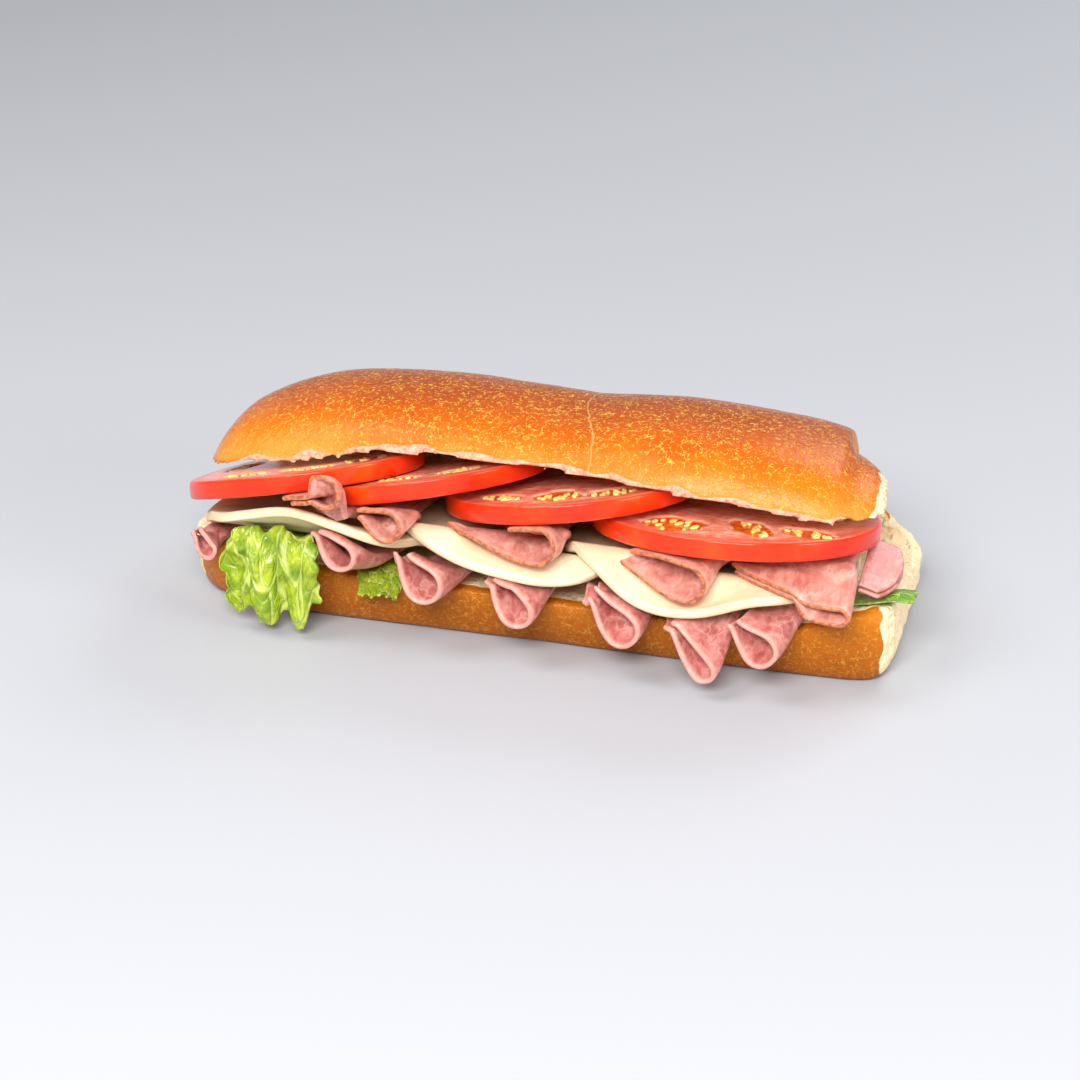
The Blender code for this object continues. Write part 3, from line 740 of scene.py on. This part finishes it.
def tomato_look():
    look = Look("tomato_flesh")
    own = look.across()
    gel = look.value("gel")
    skin = look.value("skin")
    reach = look.tree.nodes.new("ShaderNodeVectorMath")
    reach.operation = "LENGTH"
    look.put(reach.inputs[0], own)
    radius = reach.outputs["Value"]
    grain = look.noise(0.35, 4.0, 0.6)
    ray_place = look.wobbled(2.0, 0.12, own)
    streak = look.noise(9.0, 3.0, 0.6, 0.6, ray_place)
    flesh = look.ramp(look.math("MULTIPLY_ADD", streak, 0.6, look.times(grain, 0.4)), (
        (0.34, (0.90, 0.150, 0.080)), (0.50, (0.96, 0.320, 0.210)), (0.64, (0.98, 0.520, 0.380))))
    wall = look.step(radius, 0.80, 0.93)
    flesh = look.blend(look.times(wall, 0.75), flesh, (0.76, 0.085, 0.040))
    gel_colour = look.ramp(look.noise(0.5, 3.0), (
        (0.35, (0.62, 0.045, 0.003)), (0.60, (0.86, 0.190, 0.010))))
    flesh = look.blend(look.times(look.step(gel, 0.0, 0.45), 0.7), flesh, (0.97, 0.62, 0.42))
    colour = look.blend(look.step(gel, 0.45, 0.9), flesh, gel_colour)
    skin_colour = look.ramp(look.noise(0.06, 3.0), (
        (0.30, (0.62, 0.018, 0.003)), (0.55, (0.75, 0.038, 0.003)), (0.75, (0.84, 0.095, 0.004))))
    colour = look.blend(skin, colour, skin_colour)
    height = look.math("MULTIPLY_ADD", grain, 0.6, look.times(streak, 0.6))
    relief = look.bump(look.times(height, look.math("SUBTRACT", 1.0, skin)), 0.35, 0.7)
    rough = look.math("MULTIPLY_ADD", grain, 0.22, 0.10)
    look.set(base_color=colour, roughness=rough, normal=relief, subsurface_weight=0.30,
             subsurface_scale=0.004, specular_ior_level=0.32, coat_weight=0.12, coat_roughness=0.06,
             subsurface_radius=(1.0, 0.25, 0.12))
    return look


def seed_look():
    look = Look("tomato_seed")
    colour = look.ramp(look.noise(0.7, 2.0), ((0.35, (0.84, 0.42, 0.07)), (0.65, (0.95, 0.72, 0.26))))
    look.set(base_color=colour, roughness=0.18, subsurface_weight=0.15, subsurface_scale=0.002,
             coat_weight=0.5, coat_roughness=0.05)
    return look


# Cheese slices

CHEESE_FRONT_Y = -48.0
CHEESE_ROUNDNESS = 2.7
CHEESE_GRID = (62, 50)
CHEESE_HUMP = 5.6
FRONT_STEP = 0.9
CHEESES = {
    "cheese_1": dict(middle=(-59.5, -11.5), half=(39.5, 36.5), step_x=None, tail=0.6,
                     edge=((-100, 31.4), (-90, 33.4), (-78, 37.0), (-64, 39.8), (-52, 37.4),
                           (-32, 31.0), (-16, 29.0))),
    "cheese_2": dict(middle=(-1.5, -12.0), half=(37.5, 36.5), step_x=-9.5, tail=0.0,
                     edge=((-40, 36.0), (-26, 33.4), (-9, 29.6), (6, 27.2), (16, 26.6), (26, 26.0))),
    "cheese_3": dict(middle=(53.0, -12.5), half=(42.0, 37.5), step_x=46.5, tail=0.0,
                     edge=((10, 36.8), (24, 32.5), (37, 25.5), (46, 23.4), (56, 24.2), (73, 29.2),
                           (95, 27.0))),
}


def cheese_height(shape, x, y):
    """Height of the middle of a slice, which rests on the layer below and hangs at the front."""
    inward = max(y, FAN_FRONT_Y) - FAN_FRONT_Y
    z = fan(CHEESE_FAN, FAN_FRONT_Y + inward) + CHEESE_HUMP * math.exp(-inward / 8.0)
    z -= shape["tail"] * smooth((-84.0 - x) / 18.0)
    if shape["step_x"] is not None:
        step = SLICE_STEP + FRONT_STEP * math.exp(-inward / 8.0)
        z += step * smooth((shape["step_x"] - x) / 9.0)
    hang = (FAN_FRONT_Y - y) / (FAN_FRONT_Y - CHEESE_FRONT_Y)
    return mix(z, curve(shape["edge"], x), smooth((hang + 0.2) / 1.2))


def build_cheese(name, shape, look):
    def place(u, v):
        across = u * math.sqrt(1.0 - v * v / 2.0)
        deep = v * math.sqrt(1.0 - u * u / 2.0)
        reach = math.hypot(across, deep)
        if reach > 0.0:
            n = CHEESE_ROUNDNESS
            squarer = (abs(across / reach) ** n + abs(deep / reach) ** n) ** (-1.0 / n)
            across *= squarer
            deep *= squarer
        x = shape["middle"][0] + shape["half"][0] * across
        y = shape["middle"][1] + shape["half"][1] * deep
        return np.array((x, y, cheese_height(shape, x, y)))

    obj = sheet(name + "_slice", *CHEESE_GRID, place, CHEESE_THICKNESS, look)
    return finish_piece(obj, [name])


def cheese_look():
    look = Look("cheese_paste")
    clouds = look.noise(0.06, 3.0)
    fine = look.noise(0.9, 3.0)
    colour = look.ramp(look.math("MULTIPLY_ADD", clouds, 0.7, look.times(fine, 0.3)), (
        (0.35, (0.78, 0.60, 0.35)), (0.60, (0.85, 0.72, 0.50))))
    relief = look.bump(look.math("ADD", fine, look.times(clouds, 2.0)), 0.18, 0.5)
    look.set(base_color=colour, roughness=0.38, normal=relief, subsurface_weight=0.20,
             subsurface_scale=0.004, specular_ior_level=0.4,
             subsurface_radius=(1.0, 0.7, 0.4))
    return look


# What lies above and below a soft slice

CLEARANCE = 0.5
LEAF_BED = (-56.0, -30.0, -14.0)


def shelf_height(x, y):
    """Height of the lower half of the roll, or far below it beyond the open side."""
    if y < -ROLL_HALF_WIDTH - 1.5 or abs(x) > 112.0:
        return -100.0
    on_leaf = LEAF_BED[0] < x < LEAF_BED[1] and y < LEAF_BED[2]
    cover = LEAF_THICKNESS + CLEARANCE if on_leaf else 0.0
    return floor_height(x, y) + cover


def steepness(shape, x, y):
    """How much taller a cheese slice measures along Z than across its own thickness."""
    here = cheese_height(shape, x, y)
    return math.hypot(1.0, cheese_height(shape, x + 1.0, y) - here, cheese_height(shape, x, y + 1.0) - here)


def cheese_range(x, y, margin):
    """Lowest and highest place for a ham slice that passes under or over the cheese."""
    found = [shape for shape in CHEESES.values()
             if within(shape["middle"], shape["half"], x, y, CHEESE_ROUNDNESS, margin)]
    if not found:
        return 100.0, -100.0
    heights = [cheese_height(shape, x, y) for shape in found]
    half = (CHEESE_THICKNESS + HAM_THICKNESS) / 2.0
    steep = max(steepness(shape, x, y) for shape in found)
    return min(heights) - half * steep, max(heights) + half * steep


def tomato_under(x, y, margin):
    found = [tomato_top(shape, x, y) for shape in TOMATOES.values()
             if within(shape["centre"], shape["half"], x, y, 2.0, margin)]
    return min(found, default=100.0 + TOMATO_THICKNESS) - TOMATO_THICKNESS


def room_for(layer, x, y):
    """Lowest and highest place for the middle of a soft slice in its layer."""
    under, over = cheese_range(x, y, (4.0, 4.0))
    spare = CLEARANCE + HAM_THICKNESS / 2.0
    if layer is LOWER_HAM_FAN:
        return shelf_height(x, y) + spare, under - CLEARANCE
    return over + CLEARANCE, tomato_under(x, y, (3.0, 7.0)) - spare


# Folded ham slices

LOWER_HAM = {
    "ham_lower_1": dict(tip=(-91.0, -42.0, 19.0), lie=118, plies=(9.5, 9.0), puff=2.6, pinch=1.4,
                        drift=3.0, into=-20.0),
    "ham_lower_2": dict(tip=(-45.5, -51.0, 26.0), lie=134, plies=(16.0, 14.5), puff=4.4, pinch=1.0,
                        drift=11.0),
    "ham_lower_3": dict(tip=(-20.5, -51.0, 18.8), lie=128, plies=(18.0, 15.0), puff=5.4, pinch=1.6,
                        drift=12.0),
    "ham_lower_4": dict(tip=(6.0, -51.0, 14.2), lie=123, plies=(21.0, 19.0), puff=4.6, pinch=1.0,
                        drift=12.0),
    "ham_lower_5": dict(tip=(37.5, -51.0, 12.8), lie=131, plies=(22.0, 19.0), puff=5.0, pinch=1.2,
                        drift=9.5),
    "ham_lower_6": dict(tip=(60.5, -54.5, 6.2), lie=127, plies=(22.0, 21.0), puff=3.2, pinch=1.0,
                        drift=9.0),
    "ham_lower_7": dict(tip=(77.5, -53.0, 13.4), lie=138, plies=(15.5, 15.0), puff=4.8, pinch=1.4,
                        drift=11.0, into=12.0),
}
UPPER_HAM = {
    "ham_upper_1": dict(tip=(-46.0, -55.5, 50.6), lie=176, plies=(15.0, 18.0), puff=4.8, pinch=1.1,
                        drift=0.0, home=-3.0, inner=0.6, into=-20.0),
    "ham_upper_2": dict(tip=(-30.5, -49.5, 38.2), lie=163, plies=(13.0, 14.0), puff=4.8, pinch=1.1,
                        drift=6.0, home=-2.0, into=4.0, above=0.25),
    "ham_upper_3": dict(tip=(14.5, -49.5, 38.4), lie=175, plies=(34.0, 14.0), puff=6.2, pinch=3.6,
                        drift=5.0, home=-2.5, inner=0.55, into=14.0),
    "ham_upper_4": dict(tip=(57.5, -50.5, 31.6), lie=164, plies=(25.0, 24.0), puff=5.8, pinch=3.2,
                        drift=5.0, home=8.0, inner=0.6, into=14.0, above=0.7),
    "ham_upper_5": dict(tip=(98.0, -50.0, 28.6), lie=181, plies=(34.0, 35.0), puff=2.4, pinch=1.6,
                        drift=0.0, home=-2.5),
}
HAM_ACROSS = 56
HAM_ALONG = 26
BEND_SHARE = 0.4
SETTLE_Y = -33.0
INNER_SHARE = 0.8
HOMING_Y = (-40.0, -25.0)


def fold_section(u, plies, puff, pinch):
    """Point on the doubled slice, from the end of one ply round the bend to the other."""
    t = abs(u)
    length = plies[0] if u < 0.0 else plies[1]
    if t < BEND_SHARE:
        angle = t / BEND_SHARE * math.pi / 2.0
        out = puff * (1.0 - math.cos(angle))
        off = puff * math.sin(angle)
    else:
        w = (t - BEND_SHARE) / (1.0 - BEND_SHARE)
        out = mix(puff, length, w)
        off = mix(puff, pinch, smooth(w))
    return out, math.copysign(off, u)


def build_fold(name, layer, look, tip, lie, plies, puff, pinch, drift,
               home=None, inner=INNER_SHARE, into=FAN_BACK_Y, above=0.0):
    """Slice doubled over, its mouth hanging out at the front and its rest lying flat inside."""
    def place(u, v):
        depth = (v + 1.0) / 2.0
        y = mix(tip[1], into, depth ** 1.35)
        settled = smooth((y - tip[1]) / (SETTLE_Y - tip[1]))
        lengths = [length * mix(1.0, inner, settled) for length in plies]
        out, off = fold_section(u, lengths, mix(puff, PLY_GAP, settled), mix(pinch, PLY_GAP, settled))
        angle = math.radians(mix(lie, 180.0, settled))
        sideways = drift * (1.0 - math.exp(-(y - tip[1]) / 22.0))
        if home is not None:
            sideways = mix(sideways, home, smooth((y - HOMING_Y[0]) / (HOMING_Y[1] - HOMING_Y[0])))
        bend_x = tip[0] + sideways
        bend_z = mix(tip[2], fan(layer, max(y, SETTLE_Y)), settled)
        x = bend_x + out * math.cos(angle) + off * math.sin(angle)
        z = bend_z + out * math.sin(angle) - off * math.cos(angle)
        y += out * out / (2.0 * HAM_RIM_RADIUS) * (1.0 - depth)
        lowest, highest = room_for(layer, x, y)
        rank = math.sin(min(1.0, abs(u) / BEND_SHARE) * math.pi / 2.0) * math.copysign(1.0, u)
        lowest += PLY_GAP * (rank + 1.0) + above
        highest -= PLY_GAP * (1.0 - rank)
        z = max(min(z, highest), lowest) if rank < 0.0 else min(max(z, lowest), highest)
        return np.array((x, y, z))

    def ripple(u, v):
        free = smooth(-v * 1.2 - 0.2)
        return 0.32 * free * waves(u * 4.0, v * 3.0, tip[0])

    obj = sheet(name + "_slice", HAM_ACROSS, HAM_ALONG, place, HAM_LOOK_THICKNESS, look, ripple)
    return finish_piece(obj, [name])


END_FLAP_X = (97.8, 108.5)
END_FLAP_Y = (-7.0, -31.0)
END_FLAP_Z = 32.0
END_FLAP_PLY = 24.0
END_FLAP_ROUNDING = 15.0
END_FLAP_GRID = (40, 16)


def build_end_flap(look):
    """Folded slice of which the rounded end shows past the right end of the roll."""
    def place(u, v):
        out, off = fold_section(u, (END_FLAP_PLY, END_FLAP_PLY), PLY_GAP, PLY_GAP)
        share = out / END_FLAP_PLY
        t = (v + 1.0) / 2.0
        x = mix(*END_FLAP_X, t) - END_FLAP_ROUNDING * (share - 0.4) ** 2 * t
        y = mix(*END_FLAP_Y, share)
        z = END_FLAP_Z - 3.2 * smooth((x - 96.0) / 14.0) - 3.0 * smooth(share)
        return np.array((x, y, z + off))

    obj = sheet("ham_lower_8_slice", *END_FLAP_GRID, place, HAM_LOOK_THICKNESS, look)
    return finish_piece(obj, ["ham_lower_8"])


def ham_look(name, rind, base, pale, deep):
    """Cooked ham: pale fat lines and darker lean, with a paler or browned rim at the open end."""
    look = Look(name)
    own = look.across()
    parts = look.split(own)
    lean = look.noise(0.16, 3.0, 0.6, 1.2)
    fibre = look.noise(1.0, 3.0, 0.6, 0.8, look.stretched(0.55, 0.16, 0.35, look.wobbled(0.15, 4.0)))
    fine = look.noise(1.4, 2.0)
    colour = look.ramp(look.math("MULTIPLY_ADD", lean, 0.55, look.times(fibre, 0.45)), (
        (0.36, deep), (0.50, base), (0.66, pale)))
    veins = look.cells(0.16, "DISTANCE_TO_EDGE", look.wobbled(0.22, 7.0))
    veins = look.times(look.step(veins, 0.07, 0.01), look.step(look.noise(0.12, 1.0), 0.46, 0.6))
    colour = look.blend(look.times(veins, 0.32), colour, (0.88, 0.58, 0.49))
    edge_noise = look.math("MULTIPLY_ADD", look.noise(0.5, 3.0), 0.05, -0.025)
    edge = look.math("ADD", parts[1], edge_noise)
    rim = look.step(edge, -0.86, -0.94)
    side = look.step(look.math("ABSOLUTE", parts[0]), 0.955, 0.99)
    rim = look.math("MAXIMUM", rim, side)
    if rind:
        spots = look.step(look.noise(0.8, 2.0), 0.40, 0.62)
        rind_colour = look.blend(spots, (0.56, 0.17, 0.050), (0.25, 0.055, 0.018))
        pale_band = look.times(look.step(edge, -0.80, -0.92), 0.35)
        rind_band = look.times(look.step(edge, -0.935, -0.975), 0.88)
        colour = look.blend(pale_band, colour, (0.84, 0.45, 0.34))
        colour = look.blend(rind_band, colour, rind_colour)
    else:
        colour = look.blend(look.times(rim, 0.50), colour, (0.76, 0.42, 0.34))
    height = look.math("MULTIPLY_ADD", fine, 0.35, look.times(fibre, 0.8))
    relief = look.bump(height, 0.30, 0.55)
    rough = look.math("MULTIPLY_ADD", lean, 0.30, 0.20)
    look.set(base_color=colour, roughness=rough, normal=relief, subsurface_weight=0.18,
             subsurface_scale=0.003, specular_ior_level=0.5,
             subsurface_radius=(1.0, 0.35, 0.25))
    return look


# Lettuce

FRONT_LEAF_MIDDLE_X = -71.0
FRONT_LEAF_HALF_WIDTHS = (8.5, 14.0)
FRONT_LEAF_HALF_LENGTH = 37.5
FRONT_LEAF_GRID = (70, 90)
SHELF_LEAF_Y = (-20.0, -45.0)
SHELF_LEAF_MIDDLE_X = -43.0
END_LEAF_X = (92.0, 113.0)
END_LEAF_MIDDLE_Y = -22.0
SMALL_LEAF_GRID = (44, 40)
LEAF_LIFT = CLEARANCE + LEAF_THICKNESS / 2.0


def ruffle(u, v, waves, turn):
    return math.sin(waves * u + turn) * 0.6 + math.sin(1.7 * waves * u - 2.2 * v + 2.0 * turn) * 0.4


def blister(u, v, turn, fine=7.0):
    """Puckered relief between the veins of a leaf."""
    return 0.7 * abs(waves(u * fine, v * fine, turn)) - 0.2


def build_front_leaf(look):
    """Leaf that comes out over the lip and hangs down the front of the roll."""
    fall = ((0.0, 8.0, 19.0), (0.30, -18.0, 22.0), (0.50, -37.0, 27.0), (0.60, -44.0, 31.0),
            (0.70, -48.5, 26.0), (0.85, -49.5, 14.0), (1.0, -48.0, 3.4))
    line_y = [(t, y) for t, y, z in fall]
    line_z = [(t, z) for t, y, z in fall]

    def place(u, v):
        t = (v + 1.0) / 2.0
        free = smooth((t - 0.45) / 0.35)
        jag = 0.05 * math.sin(9.0 * u) + 0.10 * u * u
        along = t * (1.0 - jag * free)
        teeth = 2.2 * waves(u * 7.0, 3.0, 1.0) * free * smooth((t - 0.9) / 0.1)
        side = 2.6 * waves(2.0, v * 9.0, 5.0 + u) * free * smooth((abs(u) - 0.8) / 0.2)
        x = FRONT_LEAF_MIDDLE_X + u * mix(*FRONT_LEAF_HALF_WIDTHS, free)
        x += 4.0 * free * (t - 0.5) + side * math.copysign(1.0, u)
        wave = ruffle(u, v, 7.0, 0.8) * mix(0.4, 2.0, free)
        y = curve(line_y, along) + wave * free
        z = curve(line_z, along) + wave * (1.0 - free) + teeth
        under = cheese_range(x, y, (2.5, 2.5))[0]
        z = max(min(z, under - LEAF_LIFT), shelf_height(x, y) + LEAF_LIFT)
        return np.array((x, y, z))

    def ripple(u, v):
        free = smooth(((v + 1.0) / 2.0 - 0.45) / 0.2)
        a, b = u * FRONT_LEAF_HALF_WIDTHS[1], v * FRONT_LEAF_HALF_LENGTH
        wide = 3.0 * waves(a * 0.13, b * 0.11, 9.0)
        folds = 1.7 * abs(waves(a * 0.24, b * 0.22, 4.0))
        fine = 0.9 * abs(waves(a * 0.55, b * 0.50, 6.0))
        return free * (wide + folds + fine - 0.6)

    obj = sheet("lettuce_1_leaf", *FRONT_LEAF_GRID, place, LEAF_LOOK_THICKNESS, look, ripple)
    return finish_piece(obj, ["lettuce_1"])


def build_shelf_leaf(look):
    """Small leaf that shows under the second lower ham slice."""
    def place(u, v):
        t = (v + 1.0) / 2.0
        y = mix(*SHELF_LEAF_Y, t)
        x = SHELF_LEAF_MIDDLE_X + 8.5 * u * (1.0 - 0.35 * t * t) + 4.0 * t
        over = smooth((-36.0 - y) / 8.0)
        y += 2.2 * waves(u * 6.0, 4.0, 2.0) * over
        x += 2.0 * waves(1.0, v * 7.0, 3.0 + u) * smooth((abs(u) - 0.6) / 0.4) * over
        z = floor_height(x, y) + LEAF_LIFT - 2.2 * over + ruffle(u, v, 4.0, 0.3) * 0.8 * over
        return np.array((x, y, z))

    def ripple(u, v):
        folds = 2.2 * abs(waves(u * 2.6, v * 3.2, 4.0))
        return (folds + blister(u, v, 4.0, 6.0)) * smooth((v + 0.2) / 0.8)

    obj = sheet("lettuce_2_leaf", *SMALL_LEAF_GRID, place, LEAF_LOOK_THICKNESS, look, ripple)
    return finish_piece(obj, ["lettuce_2"])


def build_end_leaf(look):
    """Leaf that shows under the ham at the right end."""
    def place(u, v):
        t = (v + 1.0) / 2.0
        x = mix(*END_LEAF_X, t)
        y = END_LEAF_MIDDLE_Y + 10.0 * u * (1.0 - 0.4 * t)
        out = smooth((x - 100.0) / 10.0)
        x += 0.8 * waves(u * 8.0, 6.0, 3.0) * out
        z = floor_height(x, y) + LEAF_LIFT + 0.9 * out + ruffle(u, v, 5.0, 1.4) * out
        return np.array((x, y, z))

    def ripple(u, v):
        return 0.5 * blister(u, v, 6.0, 6.0) * smooth((v + 0.2) / 0.8)

    obj = sheet("lettuce_3_leaf", *SMALL_LEAF_GRID, place, LEAF_LOOK_THICKNESS, look, ripple)
    return finish_piece(obj, ["lettuce_3"])


def leaf_look(name, light, dark):
    look = Look(name)
    own = look.across()
    bent = look.wobbled(2.0, 0.30, own)
    wide = look.cells(2.6, "DISTANCE_TO_EDGE", bent)
    narrow = look.cells(6.5, "DISTANCE_TO_EDGE", look.wobbled(5.0, 0.12, own))
    fine_vein = look.times(look.step(narrow, 0.09, 0.0), 0.45)
    vein = look.math("MAXIMUM", look.step(wide, 0.10, 0.01), fine_vein)
    tone = look.noise(0.22, 3.0)
    colour = look.ramp(tone, ((0.32, dark), (0.62, light)))
    colour = look.blend(look.times(vein, 0.45), colour, (0.66, 0.74, 0.22))
    relief = look.bump(look.math("ADD", look.times(vein, -1.0), tone), 0.6, 0.7)
    look.set(base_color=colour, roughness=0.28, normal=relief, subsurface_weight=0.20,
             subsurface_scale=0.002, specular_ior_level=0.5,
             subsurface_radius=(0.6, 1.0, 0.15))
    return look


# Loose crumbs that hang at the lip of the upper half


CRUMB_COUNT = 40
CRUMB_X = (-80.0, 92.0)
CRUMB_INWARD = (2.0, 5.5)
CRUMB_RADIUS = (0.15, 0.34)


def build_crumbs(look):
    rng = random.Random(SEED)
    bm = bmesh.new()
    for _ in range(CRUMB_COUNT):
        x = rng.uniform(*CRUMB_X)
        y = LIP_Y + rng.uniform(*CRUMB_INWARD)
        z = curve(LIP_Z, x) + (y - LIP_Y) * LIP_CURL / 4.5 + 1.0
        size = rng.uniform(*CRUMB_RADIUS)
        made = bmesh.ops.create_icosphere(bm, subdivisions=1, radius=size * MM)["verts"]
        for vert in made:
            vert.co *= rng.uniform(0.7, 1.3)
            vert.co += Vector((x, y, z)) * MM
    obj = new_object("lip_crumbs", bm, look)
    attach(obj, BODY)


def crumb_look():
    look = Look("crumb_bits")
    # Painted shade and painted reddish bounce light from the tomatoes: the loose crumbs are darker and
    # pinker than the crumb of the roll
    colour = look.ramp(look.noise(0.6, 2.0), ((0.35, (0.45, 0.20, 0.11)), (0.65, (0.66, 0.36, 0.22))))
    look.set(base_color=colour, roughness=0.85)
    return look


# Stage, light and camera: name, place, target, size and power of each lamp, and its colour

LAMPS = (
    ("key", (-0.50, -0.25, 0.95), (0.0, 0.0, 0.03), (0.45, 0.45), 5.5, (1.0, 0.98, 0.95)),
    ("front", (0.05, -0.85, 0.70), (0.0, -0.02, 0.03), (0.6, 0.3), 15.0, (1.0, 0.99, 0.97)),
    ("right", (0.95, -0.35, 0.40), (0.08, 0.0, 0.03), (0.4, 0.4), 4.5, (1.0, 0.99, 0.97)),
    ("back", (0.4, 0.9, 0.8), (0.0, 0.0, 0.04), (0.6, 0.6), 6.0, (0.97, 0.98, 1.0)),
)
SKY_COLOUR = (0.95, 0.97, 1.0, 1.0)
SKY_STRENGTH = 0.38
GROUND_SIZE = 6.0


def build_stage():
    bpy.ops.mesh.primitive_plane_add(size=GROUND_SIZE, location=(0.0, 0.0, -0.0001))
    ground = bpy.context.object
    ground.name = "ground"
    look = Look("ground")
    look.set(base_color=(0.42, 0.43, 0.46, 1.0), roughness=0.6)
    ground.data.materials.append(look.mat)


def area_light(name, place, target, size, power, colour):
    data = bpy.data.lights.new(name, "AREA")
    data.shape = "RECTANGLE"
    data.size, data.size_y = size
    data.energy = power
    data.color = colour
    obj = bpy.data.objects.new(name, data)
    obj.location = place
    obj.rotation_euler = (Vector(target) - Vector(place)).to_track_quat("-Z", "Y").to_euler()
    bpy.context.scene.collection.objects.link(obj)


def build_light():
    for lamp in LAMPS:
        area_light(*lamp)
    world = bpy.data.worlds.new("studio")
    world.use_nodes = True
    backdrop = world.node_tree.nodes["Background"]
    backdrop.inputs["Color"].default_value = SKY_COLOUR
    backdrop.inputs["Strength"].default_value = SKY_STRENGTH
    bpy.context.scene.world = world
    bpy.context.scene.view_settings.view_transform = "Standard"


def build_camera():
    data = bpy.data.cameras.new("camera")
    data.lens = CAMERA_LENS
    data.sensor_width = 36.0
    obj = bpy.data.objects.new("camera", data)
    bpy.context.scene.collection.objects.link(obj)
    forward = Vector((-math.sin(CAMERA_YAW) * math.cos(CAMERA_PITCH),
                      math.cos(CAMERA_YAW) * math.cos(CAMERA_PITCH), -math.sin(CAMERA_PITCH)))
    obj.location = LOOK_AT - forward * CAMERA_DISTANCE
    obj.rotation_euler = forward.to_track_quat("-Z", "Y").to_euler()
    bpy.context.scene.camera = obj


build_camera()
build_stage()
build_light()
build_roll(crust_look())
tomato, seed = tomato_look(), seed_look()
for key, shape in TOMATOES.items():
    build_tomato(key, shape, tomato)
    build_seeds(key, shape, seed)
cheese = cheese_look()
for key, shape in CHEESES.items():
    build_cheese(key, shape, cheese)
lower_ham = ham_look("ham_lower", False, (0.55, 0.180, 0.155), (0.70, 0.330, 0.290), (0.37, 0.080, 0.070))
upper_ham = ham_look("ham_upper", True, (0.60, 0.240, 0.190), (0.75, 0.405, 0.330), (0.45, 0.135, 0.105))
for key, shape in LOWER_HAM.items():
    build_fold(key, LOWER_HAM_FAN, lower_ham, **shape)
for key, shape in UPPER_HAM.items():
    build_fold(key, UPPER_HAM_FAN, upper_ham, **shape)
build_end_flap(lower_ham)
leaf = leaf_look("lettuce", (0.37, 0.46, 0.012), (0.13, 0.25, 0.005))
build_front_leaf(leaf)
build_shelf_leaf(leaf)
build_end_leaf(leaf_look("lettuce_end", (0.20, 0.40, 0.04), (0.07, 0.20, 0.015)))
build_crumbs(crumb_look())
